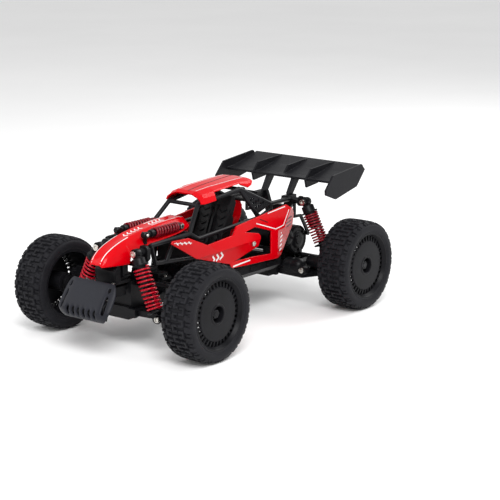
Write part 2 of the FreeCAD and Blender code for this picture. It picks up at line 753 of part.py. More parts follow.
def battery_pack(name):
    """Two round cells side by side in a sleeve."""
    body = new_body(name)
    base = S["floor_height"] + S["wall"] + 9.8
    rod(body, "XZ", (-9.4, base), 9.3, -33.4, 64.8)
    rod(body, "XZ", (9.4, base), 9.3, -33.4, 64.8)
    box(body, -9.4, 9.4, -33.4, 31.4, base - 9.2, base + 9.2)


def control_board(name):
    """Receiver and speed controller with its heat sink and connector blocks."""
    body = new_body(name)
    base = S["floor_height"] + S["wall"]
    box(body, -19, 19, 36, 66, base + 0.1, base + 1.7)
    box(body, -8, 8, 48, 62, base + 1.7, base + 8)
    for fin in range(4):
        fin_x = -7 + 4 * fin
        box(body, fin_x, fin_x + 1.4, 48.5, 61.5, base + 8, base + 12)
    for side in SIDES.values():
        start, length = span(side, 11, 17)
        block = [(38, base + 1.7), (45, base + 1.7), (45, base + 7), (38, base + 7)]
        prism(body, "YZ", block, start, length)


# ---------------------------------------------------------------- cockpit, cage and panels

def cockpit_tub(name):
    """Floor pan with two bucket seats and a dashboard."""
    body = new_body(name)
    pan = [(-42, 60), (34, 60), (34, 61.6), (-42, 61.6)]
    prism(body, "YZ", pan, -19, 38)
    for middle in (-9.6, 9.6):
        back = [(2, 61.5), (9, 61.5), (26, 104), (24, 111), (20.5, 111), (18, 104)]
        prism(body, "YZ", back, middle - 7.4, 14.8)
        for edge in (-8.6, 6.2):
            bolster = [(-16, 61.5), (10, 61.5), (21, 90), (18, 100), (11, 92), (2, 71), (-16, 67)]
            prism(body, "YZ", bolster, middle + edge, 2.4)
        box(body, middle - 6.4, middle + 6.4, -16, 4, 61.5, 65)
    dash = [(-42, 61.5), (-36, 61.5), (-30, 76), (-34, 80.6), (-42, 80.6)]
    prism(body, "YZ", dash, -17.5, 35)
    floor_top = S["floor_height"] + S["wall"]
    for side in SIDES.values():
        box(body, *sorted((side * 18, side * 22.6)), -38, -32, 60, 61.6)
        box(body, *sorted((side * 20.4, side * 22.6)), -38, -32, floor_top + 0.1, 60.2)
        box(body, *sorted((side * 12, side * 18)), 32.4, 35.2, floor_top + 0.1, 61)


def roll_cage(name):
    """Welded tubes: pillars, roof rails, sills, nose rails and perforated rear gussets."""
    radius = number(S["cage_tube_radius"])
    wide = number(S["cage_half_width"])
    post_x = number(S["sill_half_width"]) - 3
    sill_top = number(S["sill_height"])
    pieces = []
    for side in SIDES.values():
        nose = Vector(side * wide, -97, 88)
        scuttle = Vector(side * (wide - 1), -46, 89)
        header = Vector(side * (wide - 7.8), -27, 110)
        roof_rear = Vector(side * (wide - 4.5), 28, 116.4)
        waist_front = Vector(side * wide, -36, 83)
        waist_rear = Vector(side * (wide + 1.5), 50, 88)
        hip = Vector(side * (wide + 1.5), 66, 93)
        shoulder = Vector(side * (wide + 0.5), 66, 98)
        tail = Vector(side * wide, 96.4, 97.5)
        gusset_low = Vector(side * (wide + 1), 45, 92)
        lower_front = Vector(side * (wide - 2), -90, 71)
        lower_rear = Vector(side * (wide - 2), -40, 67)
        tower = Vector(side * (wide + 0.4), -99.2, 87.4)
        runs = [
            [tower, nose, scuttle, header, roof_rear, shoulder, tail],
            [scuttle, waist_front, waist_rear, hip, shoulder],
            [roof_rear, gusset_low, waist_rear],
            [nose, lower_front, lower_rear, Vector(side * post_x, -34, sill_top + 0.1)],
            [Vector(side * (wide - 0.5), -66, 88.4), Vector(side * (wide - 2), -76, 70)],
            [Vector(side * (wide + 0.2), -8, 85), Vector(side * post_x, -8, sill_top + 0.1)],
            [hip, Vector(side * post_x, 66, sill_top + 0.1)],
            [waist_front, lower_rear],
        ]
        for run in runs:
            pieces += tube_through(run, radius)
        pieces.append(gusset(roof_rear, gusset_low, shoulder, side))
    half = Vector(wide - 3, 0, 0)
    for y, z in ((-46, 89), (66, 98), (-36, 83)):
        middle = Vector(0, y, z)
        reach = half + Vector(0.5, 0, 0)
        pieces += tube_through([middle - reach, middle + reach], radius * 0.9)
    for x, y, z in ((wide - 7.8, -27, 110), (wide - 4.5, 28, 116.4)):
        pieces += tube_through([Vector(-x, y, z), Vector(x, y, z)], radius * 0.9)
    new_solid(name, pieces[0].multiFuse(pieces[1:]))


def gusset(top, low, rear, side):
    """Triangular plate with rows of short slanted slots towards its lower edge."""
    plate = Part.Face(Part.makePolygon([top, low, rear, top])).extrude(Vector(side * 1.6, 0, 0))
    slot_length, slot_height = 3.4, 1.9
    rows = ((0.5, 2), (0.66, 3), (0.82, 4))
    for along, slots in rows:
        left = top + (low - top) * along
        right = top + (rear - top) * along
        for index in range(slots):
            centre = left + (right - left) * ((index + 0.9) / (slots + 0.8))
            cutter = Part.makeBox(20, slot_length, slot_height, Vector(-10, -slot_length / 2, 0))
            cutter.Placement = Placement(centre, Rotation(Vector(1, 0, 0), 60))
            plate = plate.cut(cutter)
    return plate


def shell_section(half_outline, skin):
    """A closed cross-section from the right half of a skin, outermost point last."""
    inside = [(x - skin * 0.6, z - skin) for x, z in half_outline]
    outer = half_outline + [(-1 * x, z) for x, z in reversed(half_outline)]
    inner = inside + [(-1 * x, z) for x, z in reversed(inside)]
    return outer + inner[::-1]


def hood(name):
    """Faceted bonnet: raised centre strip, broken side slopes and a drooping snout."""
    body = new_body(name)
    skin = S["panel_skin"]
    snout = [
        (-139.6, [(7.2, 74.4), (6, 75.4), (4.4, 76.2)]),
        (-135.6, [(9.6, 74.4), (8.2, 78.8), (5, 82)]),
        (-130, [(12, 74.4), (10, 81.4), (5.4, 86)]),
        (-122, [(13.6, 74), (11.4, 83.6), (5.8, 89.8)]),
        (-113, [(14.6, 73.8), (12.4, 85), (6, 92.4)]),
    ]
    deck = [
        (-113, [(14.8, 82.6), (12.4, 85), (6, 92.4)]),
        (-100, [(15.8, 84.6), (12.6, 87.4), (6, 95.6)]),
        (-90, [(16.4, 86.6), (12.4, 89.2), (6.2, 97)]),
        (-66, [(18.8, 89.6), (11.8, 92), (6.4, 100)]),
        (-48, [(18.4, 91.6), (11.8, 93.6), (6.6, 100.4)]),
        (-36, [(15.2, 94), (12, 95.4), (7.4, 100.4)]),
    ]
    for stations in (snout, deck):
        loft(body, "XZ", [(y, shell_section(half, skin)) for y, half in stations])


def hood_shocks(name):
    """Two dummy dampers lying along the bonnet, each on two short feet."""
    body = new_body(name)
    middle_x, middle_z = 16, 95.6
    for side in SIDES.values():
        centre = (side * middle_x, middle_z)
        rod(body, "XZ", centre, 2.4, -95, 13.5)
        rod(body, "XZ", centre, 4.2, -82, 26)
        rod(body, "XZ", centre, 1.8, -57, 6)
        rod(body, "YZ", (-50, middle_z), 3, *span(side, middle_x - 2.4, middle_x + 2.4))
        for near, low in ((-93, 88.4), (-51.4, 92.6)):
            foot = [(near, low), (near + 3, low), (near + 3, middle_z), (near, middle_z)]
            prism(body, "YZ", foot, *span(side, middle_x - 1, middle_x + 0.6))


def roof_panel(name):
    """Roof skin with a visor, side flaps behind it and dropped rear corners."""
    body = new_body(name)
    skin = S["panel_skin"]
    front = [
        (-26, [(21.2, 110.8), (17.4, 116), (10.6, 119.8)]),
        (-20, [(21.4, 111), (18, 118.2), (11.4, 121.6)]),
        (-7, [(21.6, 112), (18.2, 119.4), (12, 122)]),
    ]
    middle = [
        (-7, [(19, 118.6), (17.6, 120.4), (12, 122)]),
        (30, [(18.6, 120.8), (17, 122.4), (12.4, 123.6)]),
    ]
    rear = [
        (30, [(19, 119.8), (17, 122.4), (12.4, 123.6)]),
        (39.5, [(20.4, 116.8), (17.6, 121.6), (12.6, 123.8)]),
        (47, [(20.4, 119), (17.8, 121), (13, 123.6)]),
    ]
    for stations in (front, middle, rear):
        loft(body, "XZ", [(y, shell_section(half, skin)) for y, half in stations])


def side_panel(name, side):
    """Flank panel: pointed nose, angular cut-out and a tongue held by one screw."""
    body = new_body(name)
    start, length = span(side, S["side_panel_x"], S["side_panel_x"] + S["side_panel_thickness"])
    outline = [
        (-81, 87.4), (-79.8, 89.6), (-60, 89.2), (-37.5, 79.4), (-3, 82.2), (3, 89.2), (38, 93),
        (78, 96.6), (88, 91.3), (88, 76.2), (72, 62), (70, 51.5), (63, 49.2), (33, 50.2),
        (-3, 52), (-5, 56), (-50.8, 69.4),
    ]
    prism(body, "YZ", outline, start, length)
    cutout = [(14.2, 81.9), (28.6, 84.2), (51.2, 76.9), (51.4, 55.5), (27.6, 57.1), (0, 57.4),
              (34.3, 65.7), (35.4, 75.4), (33, 77.9)]
    cut_prism(body, "YZ", cutout, start - 1, length + 2)
    start, length = span(side, S["cage_half_width"] + 3.6, S["side_panel_x"] + 0.2)
    for boss in ((24.2, 69.7), (-30, 76), (78, 80)):
        rod(body, "YZ", boss, 3, start, length)
    start, length = span(side, S["side_panel_x"] + 1, S["side_panel_x"] + 5)
    cut_rod(body, "YZ", (24.2, 69.7), 2.6, start, length)


def rear_wing(name):
    """Main plane, endplates, three fins and two posts."""
    body = new_body(name)
    half_span = S["wing_half_span"]
    plate = S["endplate_thickness"]
    plane = [(113, 113.2), (122, 113.6), (142, 117.4), (159, 123), (159.6, 125.2), (141, 119.8),
             (122, 115.8), (113, 115.2)]
    prism(body, "YZ", plane, -half_span, 2 * half_span)
    endplate = [(97, 109.6), (108.6, 122), (154.6, 126.6), (160, 121), (147, 106.6), (113, 99.4),
                (97.4, 105.4)]
    for side in SIDES.values():
        start, length = span(side, half_span, half_span + plate)
        prism(body, "YZ", endplate, start, length)
        fin = [(111, 113.6), (120.5, 123.2), (148, 125), (158, 125), (140, 113), (131, 108.4),
               (113, 106.4)]
        start, length = span(side, 30, 32)
        prism(body, "YZ", fin, start, length)
        post = [(106, 99.4), (112.6, 99.4), (124.5, 114.6), (115, 114.6)]
        start, length = span(side, 12.6, 16.6)
        prism(body, "YZ", post, start, length)
    middle_fin = [(119, 114.4), (126.4, 122.6), (150, 124.6), (157, 124.6), (141, 118.6)]
    prism(body, "YZ", middle_fin, -1, 2)


# ---------------------------------------------------------------- drive

def rear_gearbox(name):
    """Axle housing, gear cover, motor plate, arm hinge pins and the shock tower."""
    body = new_body(name)
    axle_y, axle_z = S["rear_axle_y"], S["axle_height"]
    z = S["pivot_height"]
    pivot = S["rear_pivot"]
    gear = (S["gear_y"], S["gear_z"])
    motor = (S["motor_y"], S["motor_z"])
    box(body, -13, 13, 79.8, axle_y + 20, z - 6, z + 5)
    box(body, -12.5, 12.5, 104.4, axle_y + 15, z + 4, 58)
    for side in SIDES.values():
        start, length = span(side, 12, 18.6)
        rod(body, "YZ", (axle_y, axle_z), 5.8, start, length)
        start, length = span(side, 12, pivot + 3.6)
        for near in (79.8, axle_y + 16.3):
            ear = [(near, z - 3.6), (near + 3.7, z - 3.6), (near + 3.7, z + 3.6), (near, z + 3.6)]
            prism(body, "YZ", ear, start, length)
        rod(body, "XZ", (side * pivot, z), S["pin_radius"], 79.8, axle_y + 20 - 79.8)
        start, length = span(side, 13.6, 19)
        cut_rod(body, "YZ", (axle_y, axle_z), 4.2, start, length)
    plate_x, cover_x = 12.4, 26
    rod(body, "YZ", gear, 13.4, plate_x, cover_x - plate_x)
    rod(body, "YZ", motor, 7.6, plate_x, cover_x - plate_x)
    cut_rod(body, "YZ", gear, 12.2, plate_x + 2.2, cover_x - plate_x - 4)
    cut_rod(body, "YZ", motor, 6.2, plate_x + 2.2, cover_x - plate_x - 4)
    cut_rod(body, "YZ", motor, 2.4, plate_x - 1, 5)
    cut_rod(body, "YZ", gear, S["pin_radius"] + S["running_gap"], plate_x - 2, 5)
    top_x, top_z = S["rear_shock_top_x"], S["rear_shock_top_z"]
    shock_y = S["rear_shock_y"]
    half = [(10.5, 50), (10.5, 72), (14, 84), (20.4, 92), (20.4, top_z + 3), (12, top_z + 3), (8, 88)]
    outline = half + [(-1 * a, b) for a, b in reversed(half)]
    prism(body, "XZ", outline, shock_y + 8.5, 4)
    eye_gap = 2.8
    for side in SIDES.values():
        top = (side * top_x, top_z)
        near, far = top_x - 26, top_x - 4.8
        rod(body, "YZ", (shock_y, top_z), 3, *span(side, near, far))
        rod(body, "YZ", (shock_y, top_z), 4.8, *span(side, far - 1.8, far))
        near, far_end = sorted((side * 14, side * 20.4))
        box(body, near, far_end, shock_y - 2.5, shock_y + 9, top_z - 3, top_z + 3)
        for cheek_y in (shock_y - eye_gap - 1.6, shock_y + eye_gap):
            cheek = [(far - 1, top_z - 3.4), (top_x, top_z - 3.4), (top_x, top_z + 3.4), (far - 1, top_z + 3.4)]
            prism(body, "XZ", mirrored(side, cheek), cheek_y, 1.6)
            rod(body, "XZ", top, 3.6, cheek_y, 1.6)
        rod(body, "XZ", top, S["pin_radius"], shock_y - 4, 8)
        strut = [(98, 79.8), (108, 79.4), (119.6, 61.4), (122, 63), (109.4, 81.8), (100.4, 82.2),
                 (100.4, top_z), (98, top_z)]
        prism(body, "YZ", strut, *span(side, 27, 29))
        rod(body, "YZ", (120.4, 61.6), 2, *span(side, 10, 29))


def motor_can(name):
    """Brushed motor can with end bell and terminals."""
    body = new_body(name)
    centre = (S["motor_y"], S["motor_z"])
    rod(body, "YZ", centre, S["motor_radius"], -22, 34)
    rod(body, "YZ", centre, S["motor_radius"] - 1.2, -25, 3)
    rod(body, "YZ", centre, 3.4, -27.5, 3)
    cut_rod(body, "YZ", centre, 1.05, 1, 12)


def toothed_ring(body, teeth, start, width):
    """Root disc with radial teeth, slim enough to run without binding."""
    module = S["gear_module"]
    pitch = module * teeth / 2
    root = pitch - 1.2 * module
    tip = pitch + 0.75 * module
    rod(body, "YZ", (0, 0), root, start, width)
    tooth = prism(body, "YZ", [
        (-0.6 * module, root - 0.3), (0.6 * module, root - 0.3), (0.28 * module, tip),
        (-0.28 * module, tip),
    ], start, width)
    repeat_around(body, tooth, "X", int(number(teeth)))


def drive_gear(name):
    """Spur gear on its own short spindle."""
    body = new_body(name)
    toothed_ring(body, S["gear_teeth"], 17, 5)
    rod(body, "YZ", (0, 0), S["pin_radius"], 12.6, 10.4)
    place(body, 0, S["gear_y"], S["gear_z"])


def motor_pinion(name):
    """Pinion on the motor shaft, turned so that its teeth sit between the spur gear's."""
    body = new_body(name)
    toothed_ring(body, S["pinion_teeth"], 16.6, 6)
    rod(body, "YZ", (0, 0), 1, 2, 20)
    rise = S["motor_z"] - S["gear_z"]
    run = S["gear_y"] - S["motor_y"]
    contact = Size(
        math.degrees(math.atan2(number(run), number(rise))),
        f"atan2({text(run)}; {text(rise)}) / 1deg",
    )
    tooth_ratio = S["gear_teeth"] / S["pinion_teeth"]
    mesh_turn = 180 + contact + contact * tooth_ratio + 180 / number(S["pinion_teeth"])
    place(body, 0, S["motor_y"], S["motor_z"], (1, 0, 0), mesh_turn)


def screw(position, direction, radius):
    """Pan head with a hexagon socket."""
    head = Part.makeCylinder(radius, 1.5, position, direction)
    socket_points = []
    for step in range(7):
        angle = math.radians(60 * step)
        socket_points.append(Vector(math.cos(angle), math.sin(angle), 0) * (radius * 0.5))
    socket = Part.Face(Part.makePolygon(socket_points)).extrude(Vector(0, 0, 2))
    socket.Placement = Placement(position + direction * 0.6, Rotation(Vector(0, 0, 1), direction))
    return head.cut(socket)


def screws(name):
    """The visible fasteners: shock pins, flank tongues, bonnet and servo."""
    heads = []
    forward, upward = Vector(0, -1, 0), Vector(0, 0, 1)
    front_top = (number(S["front_shock_top_x"]), number(S["front_shock_top_z"]))
    rear_top = (number(S["rear_shock_top_x"]), number(S["rear_shock_top_z"]))
    for side in SIDES.values():
        sideways = Vector(side, 0, 0)
        for (x, z), key, reach in ((front_top, "front_shock_y", 3), (rear_top, "rear_shock_y", 4.5)):
            heads.append(screw(Vector(side * x, number(S[key]) - reach, z), forward, 2.8))
        panel = number(S["side_panel_x"]) + 1
        heads.append(screw(Vector(side * panel, 24.2, 69.7), sideways, 2.4))
        servo_y = number(S["front_axle_y"]) + 30
        heads.append(screw(Vector(side * 13.8, servo_y, 54), upward, 1.6))
        heads.append(screw(Vector(side * 14.5, -134, 60), upward, 1.4))
    new_solid(name, Part.makeCompound(heads))


# ---------------------------------------------------------------- assembly

def build():
    front_y, rear_y = S["front_axle_y"], S["rear_axle_y"]
    chassis_tub("chassis_tub")
    battery_door("battery_door")
    battery_pack("battery_pack")
    control_board("control_board")
    front_bulkhead("front_bulkhead")
    front_bumper("front_bumper")
    steering_servo("steering_servo")
    servo_horn("servo_horn")
    steering_link("steering_link")
    rear_gearbox("rear_gearbox")
    motor_can("motor")
    motor_pinion("motor_pinion")
    drive_gear("drive_gear")
    cockpit_tub("cockpit_tub")
    roll_cage("roll_cage")
    hood("hood")
    hood_shocks("hood_shocks")
    roof_panel("roof_panel")
    rear_wing("rear_wing")
    screws("screws")
    front_top = (S["front_shock_top_x"], S["front_shock_top_z"])
    front_foot = (S["front_shock_foot_x"], S["front_shock_foot_z"])
    rear_top = (S["rear_shock_top_x"], S["rear_shock_top_z"])
    rear_foot = (S["rear_shock_foot_x"], S["rear_shock_foot_z"])
    for word, side in SIDES.items():
        side_panel(f"side_panel_{word}", side)
        front_lower_arm(f"front_{word}_lower_arm", side)
        front_upper_arm(f"front_{word}_upper_arm", side)
        front_c_hub(f"front_{word}_c_hub", side)
        front_knuckle(f"front_{word}_knuckle", side)
        tie_rod(f"front_{word}_tie_rod", side)
        shock(f"front_{word}", side, front_top, front_foot, S["front_shock_y"])
        rear_arm(f"rear_{word}_arm", side)
        rear_driveshaft(f"rear_{word}_driveshaft", side)
        shock(f"rear_{word}", side, rear_top, rear_foot, S["rear_shock_y"])
        for end, axle_y in (("front", front_y), ("rear", rear_y)):
            tyre(f"{end}_{word}_tyre", side, axle_y)
            rim(f"{end}_{word}_rim", side, axle_y)
            wheel_nut(f"{end}_{word}_wheel_nut", side, axle_y)


def check_and_export():
    """Stops on any broken feature or empty solid, then writes one STEP file per sub-part."""
    doc.recompute()
    for obj in doc.Objects:
        if "Invalid" in obj.State or "Error" in obj.State:
            raise RuntimeError(f"{obj.Name} did not build: {obj.State}")
    for node in nodes:
        shape = node.Shape
        if shape.isNull() or not shape.isValid() or not shape.Solids:
            raise RuntimeError(f"{node.Label} has no valid solid")
        shape.exportStep(os.path.join("parts", f"{node.Label}.step"))


build()
check_and_export()
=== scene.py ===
"""Looks of the desert buggy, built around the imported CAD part. Metres, +Z up, nose towards -Y."""

import math

import bmesh
import bpy
from mathutils import Matrix, Vector
from mathutils.bvhtree import BVHTree


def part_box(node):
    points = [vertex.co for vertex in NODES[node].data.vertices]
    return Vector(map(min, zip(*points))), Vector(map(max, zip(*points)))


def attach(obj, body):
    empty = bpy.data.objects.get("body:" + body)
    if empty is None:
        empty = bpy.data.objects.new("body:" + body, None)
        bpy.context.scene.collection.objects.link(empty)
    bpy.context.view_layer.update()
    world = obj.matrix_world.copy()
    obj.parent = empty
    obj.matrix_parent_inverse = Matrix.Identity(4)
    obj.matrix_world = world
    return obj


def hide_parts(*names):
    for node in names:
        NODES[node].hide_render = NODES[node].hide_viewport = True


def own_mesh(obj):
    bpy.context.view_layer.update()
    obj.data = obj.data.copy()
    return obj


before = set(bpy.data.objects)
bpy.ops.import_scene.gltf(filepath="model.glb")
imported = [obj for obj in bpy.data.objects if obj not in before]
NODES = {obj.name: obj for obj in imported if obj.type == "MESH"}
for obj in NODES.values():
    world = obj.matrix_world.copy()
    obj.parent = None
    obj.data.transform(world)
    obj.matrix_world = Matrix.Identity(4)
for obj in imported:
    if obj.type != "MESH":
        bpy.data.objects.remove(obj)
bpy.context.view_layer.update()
MM = 0.001
SIDES = {"left": 1, "right": -1}


# ---------------------------------------------------------------- materials

def new_material(name):
    material = bpy.data.materials.new(name)
    material.use_nodes = True
    nodes = material.node_tree.nodes
    nodes.clear()
    output = nodes.new("ShaderNodeOutputMaterial")
    shader = nodes.new("ShaderNodeBsdfPrincipled")
    material.node_tree.links.new(shader.outputs["BSDF"], output.inputs["Surface"])
    return material, shader


def noise(tree, coordinates, scale, detail=4.0, roughness=0.55):
    texture = tree.nodes.new("ShaderNodeTexNoise")
    texture.inputs["Scale"].default_value = scale
    texture.inputs["Detail"].default_value = detail
    texture.inputs["Roughness"].default_value = roughness
    tree.links.new(coordinates, texture.inputs["Vector"])
    return texture.outputs["Fac"]


def remap(tree, value, low, high, start=0.3, end=0.7):
    node = tree.nodes.new("ShaderNodeMapRange")
    node.inputs["From Min"].default_value = start
    node.inputs["From Max"].default_value = end
    node.inputs["To Min"].default_value = low
    node.inputs["To Max"].default_value = high
    tree.links.new(value, node.inputs["Value"])
    return node.outputs["Result"]


def blend_colours(tree, factor, first, second):
    node = tree.nodes.new("ShaderNodeMix")
    node.data_type = "RGBA"
    tree.links.new(factor, node.inputs["Factor"])
    for socket, colour in ((node.inputs["A"], first), (node.inputs["B"], second)):
        if isinstance(colour, bpy.types.NodeSocket):
            tree.links.new(colour, socket)
        else:
            socket.default_value = (*colour, 1)
    return node.outputs["Result"]


def bumps(tree, shader, layers):
    """Stacks height textures, (value, strength, distance), into the shader's normal."""
    normal = None
    for value, strength, distance in layers:
        bump = tree.nodes.new("ShaderNodeBump")
        bump.inputs["Strength"].default_value = strength
        bump.inputs["Distance"].default_value = distance
        tree.links.new(value, bump.inputs["Height"])
        if normal is not None:
            tree.links.new(normal, bump.inputs["Normal"])
        normal = bump.outputs["Normal"]
    tree.links.new(normal, shader.inputs["Normal"])


def surface(name, colour, worn, roughness, grain, grain_strength, metallic=0.0, coat=0.0,
            specular=0.5, smudge=60):
    """A moulded or metal finish: mottled colour, uneven gloss and fine grain."""
    material, shader = new_material(name)
    tree = material.node_tree
    place = tree.nodes.new("ShaderNodeTexCoord").outputs["Object"]
    patches = noise(tree, place, smudge, 5)
    colour_out = blend_colours(tree, remap(tree, patches, 0, 1), colour, worn)
    tree.links.new(colour_out, shader.inputs["Base Color"])
    tree.links.new(remap(tree, patches, *roughness), shader.inputs["Roughness"])
    shader.inputs["Metallic"].default_value = metallic
    shader.inputs["Coat Weight"].default_value = coat
    shader.inputs["Coat Roughness"].default_value = 0.08
    shader.inputs["Specular IOR Level"].default_value = specular
    bumps(tree, shader, [(noise(tree, place, grain, 3), grain_strength, 0.0004)])
    return material


MATERIALS = {
    "tyre": surface("tyre_rubber", (0.007, 0.007, 0.009), (0.014, 0.014, 0.017), (0.5, 0.68),
                    1800, 0.35, specular=0.14, smudge=90),
    "rim": surface("rim_nylon", (0.005, 0.005, 0.006), (0.009, 0.009, 0.011), (0.3, 0.42),
                   2600, 0.15, specular=0.1, smudge=70),
    "plastic": surface("black_nylon", (0.003, 0.003, 0.004), (0.007, 0.007, 0.008), (0.26, 0.42),
                       2400, 0.18, specular=0.13),
    "chassis": surface("chassis_nylon", (0.003, 0.003, 0.004), (0.007, 0.007, 0.008),
                       (0.32, 0.48), 2000, 0.25, specular=0.12),
    "cage": surface("cage_nylon", (0.004, 0.004, 0.005), (0.009, 0.009, 0.011), (0.25, 0.4),
                    2400, 0.15, specular=0.15),
    "bumper": surface("bumper_nylon", (0.012, 0.0125, 0.017), (0.018, 0.019, 0.025), (0.36, 0.5),
                      2000, 0.2, specular=0.14),
    "seat": surface("seat_plastic", (0.004, 0.004, 0.005), (0.009, 0.009, 0.01), (0.4, 0.55),
                    1500, 0.4, specular=0.12),
    "wing": surface("wing_nylon", (0.006, 0.006, 0.008), (0.011, 0.011, 0.013), (0.33, 0.5),
                    2200, 0.18, specular=0.12),
    "red": surface("body_red", (0.52, 0.0, 0.003), (0.6, 0.0, 0.005), (0.14, 0.22),
                   1400, 0.03, coat=0.1, specular=0.1, smudge=25),
    "spring": surface("spring_red", (0.34, 0.0, 0.01), (0.44, 0.001, 0.014), (0.2, 0.3),
                      1500, 0.05, coat=0.2, specular=0.2),
    "dark_spring": surface("dark_spring_red", (0.14, 0.001, 0.006), (0.2, 0.002, 0.009),
                           (0.22, 0.34), 1500, 0.05, coat=0.2, specular=0.2),
    "steel": surface("screw_steel", (0.5, 0.48, 0.45), (0.62, 0.6, 0.56), (0.2, 0.35),
                     1500, 0.06, metallic=1.0),
    "dark_steel": surface("dark_steel", (0.02, 0.02, 0.022), (0.05, 0.05, 0.054), (0.25, 0.4),
                          1500, 0.06, metallic=1.0),
    "gear": surface("gear_nylon", (0.03, 0.03, 0.033), (0.05, 0.05, 0.054), (0.4, 0.5),
                    1500, 0.1),
    "battery": surface("battery_wrap", (0.005, 0.005, 0.007), (0.01, 0.01, 0.013), (0.2, 0.3),
                       500, 0.05, coat=0.2),
    "board": surface("board_green", (0.002, 0.012, 0.006), (0.003, 0.016, 0.008), (0.3, 0.4),
                     900, 0.1),
    # White for printed decals; the same material also paints highlights along the bonnet ridges and a
    # flank's top edge.
    "decal_and_painted_highlight": surface("white_decal_and_painted_highlight", (0.74, 0.74, 0.74), (0.8, 0.8, 0.8), (0.25, 0.35),
                     1500, 0.03, coat=0.3),
}

NODE_FINISH = {
    "chassis_tub": "chassis", "battery_door": "chassis", "battery_pack": "battery",
    "control_board": "board", "front_bumper": "bumper", "motor": "dark_steel",
    "cockpit_tub": "seat", "roll_cage": "cage", "hood": "red", "roof_panel": "red",
    "hood_shocks": "dark_spring", "side_panel_left": "red", "side_panel_right": "red",
    "rear_wing": "wing", "screws": "steel", "drive_gear": "gear", "motor_pinion": "gear",
}
ENDING_FINISH = {
    "_tyre": "tyre", "_rim": "rim", "_wheel_nut": "dark_steel", "_spring": "spring",
    "_shock_rod": "plastic", "_driveshaft": "dark_steel",
}


def finish_of(node):
    for ending, finish in ENDING_FINISH.items():
        if node.endswith(ending):
            return finish
    return NODE_FINISH.get(node, "plastic")


def dress_cad():
    for name, obj in NODES.items():
        obj.data.materials.clear()
        obj.data.materials.append(MATERIALS[finish_of(name)])


dress_cad()


# ---------------------------------------------------------------- shape tools

def shrunk(outline, inset):
    """The same outline moved inwards by inset, corner by corner."""
    area = sum(a[0] * b[1] - b[0] * a[1] for a, b in zip(outline, outline[1:] + outline[:1]))
    turn = 1 if area > 0 else -1
    moved = []
    for before, here, after in zip(outline[-1:] + outline[:-1], outline, outline[1:] + outline[:1]):
        arrive = (Vector(here) - Vector(before)).normalized()
        leave = (Vector(after) - Vector(here)).normalized()
        first = Vector((-arrive.y, arrive.x)) * turn
        second = Vector((-leave.y, leave.x)) * turn
        moved.append(Vector(here) + (first + second) * (inset / (1 + first.dot(second))))
    return moved


class Builder:
    """Gathers points in millimetres, and the faces between them, into one mesh."""

    def __init__(self):
        self.points = []
        self.faces = []

    def add(self, points, faces):
        base = len(self.points)
        self.points += [Vector(point) for point in points]
        self.faces += [[base + index for index in face] for face in faces]

    def rings(self, rings, wrap=False, closed=True, caps=True):
        """Quads between successive rings; wrap joins the last ring to the first."""
        count = len(rings[0])
        faces = []
        for row in range(len(rings) if wrap else len(rings) - 1):
            below, above = row * count, (row + 1) % len(rings) * count
            for step in range(count if closed else count - 1):
                after = (step + 1) % count
                faces.append((below + step, below + after, above + after, above + step))
        if caps and not wrap:
            faces.append(tuple(range(count))[::-1])
            faces.append(tuple(range((len(rings) - 1) * count, len(rings) * count)))
        self.add([point for ring in rings for point in ring], faces)

    def lathe(self, profile, place, segments=72, closed=False):
        """Turns (along, radius) points about the local X axis; closed for a ring-shaped section."""
        rings = []
        for step in range(segments):
            angle = 2 * math.pi * step / segments
            rings.append([place @ Vector((along, radius * math.sin(angle), radius * math.cos(angle)))
                          for along, radius in profile])
        self.rings(rings, wrap=True, closed=closed)

    def slab(self, outline, place, thickness):
        """A plate whose outline lies in the local XY plane, thickened along local Z."""
        self.rings([[place @ Vector((x, y, height)) for x, y in outline] for height in (0, thickness)])

    def tube(self, path, radius, sides=10):
        """A round bar along a path, with flat ends."""
        rings = []
        normal = None
        for index, point in enumerate(path):
            ahead = path[min(index + 1, len(path) - 1)]
            behind = path[max(index - 1, 0)]
            along = (ahead - behind).normalized()
            if normal is None:
                normal = along.orthogonal()
            normal = (normal - along * normal.dot(along)).normalized()
            across = along.cross(normal)
            ring = []
            for step in range(sides):
                angle = 2 * math.pi * step / sides
                ring.append(point + (normal * math.cos(angle) + across * math.sin(angle)) * radius)
            rings.append(ring)
        self.rings(rings)

    def mesh(self, name):
        mesh = bpy.data.meshes.new(name)
        mesh.from_pydata([point * MM for point in self.points], [], self.faces)
        work = bmesh.new()
        work.from_mesh(mesh)
        bmesh.ops.remove_doubles(work, verts=work.verts, dist=1e-6)
        bmesh.ops.recalc_face_normals(work, faces=work.faces)
        work.to_mesh(mesh)
        work.free()
        return mesh

    def build(self, name, finish, body, stands_for=(), bevel=0.0, sharp=32, subdivide=0, skin=0.0):
        """Makes the object, rounds its edges and lets it ride on a body."""
        mesh = self.mesh(name)
        mesh.polygons.foreach_set("use_smooth", [True] * len(mesh.polygons))
        mesh.set_sharp_from_angle(angle=math.radians(sharp))
        mesh.materials.append(MATERIALS[finish])
        obj = bpy.data.objects.new(name, mesh)
        bpy.context.scene.collection.objects.link(obj)
        if subdivide:
            smoothing = obj.modifiers.new("smoothing", "SUBSURF")
            smoothing.levels = smoothing.render_levels = subdivide
        if skin:
            thicken = obj.modifiers.new("skin", "SOLIDIFY")
            thicken.thickness = skin * MM
            thicken.offset = -1
        if bevel:
            round_edges(obj, bevel)
        if stands_for:
            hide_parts(*stands_for)
        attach(obj, body)
        return obj


def round_edges(obj, width, angle=35, segments=2):
    bevel = obj.modifiers.new("round_edges", "BEVEL")
    bevel.width = width * MM
    bevel.segments = segments
    bevel.limit_method = "ANGLE"
    bevel.angle_limit = math.radians(angle)
    bevel.harden_normals = True


def at(x, y, z):
    return Matrix.Translation((x, y, z))


def facing(centre, direction):
    """A place whose local X axis points along direction."""
    turn = Vector((1, 0, 0)).rotation_difference(Vector(direction)).to_matrix().to_4x4()
    return Matrix.Translation(centre) @ turn


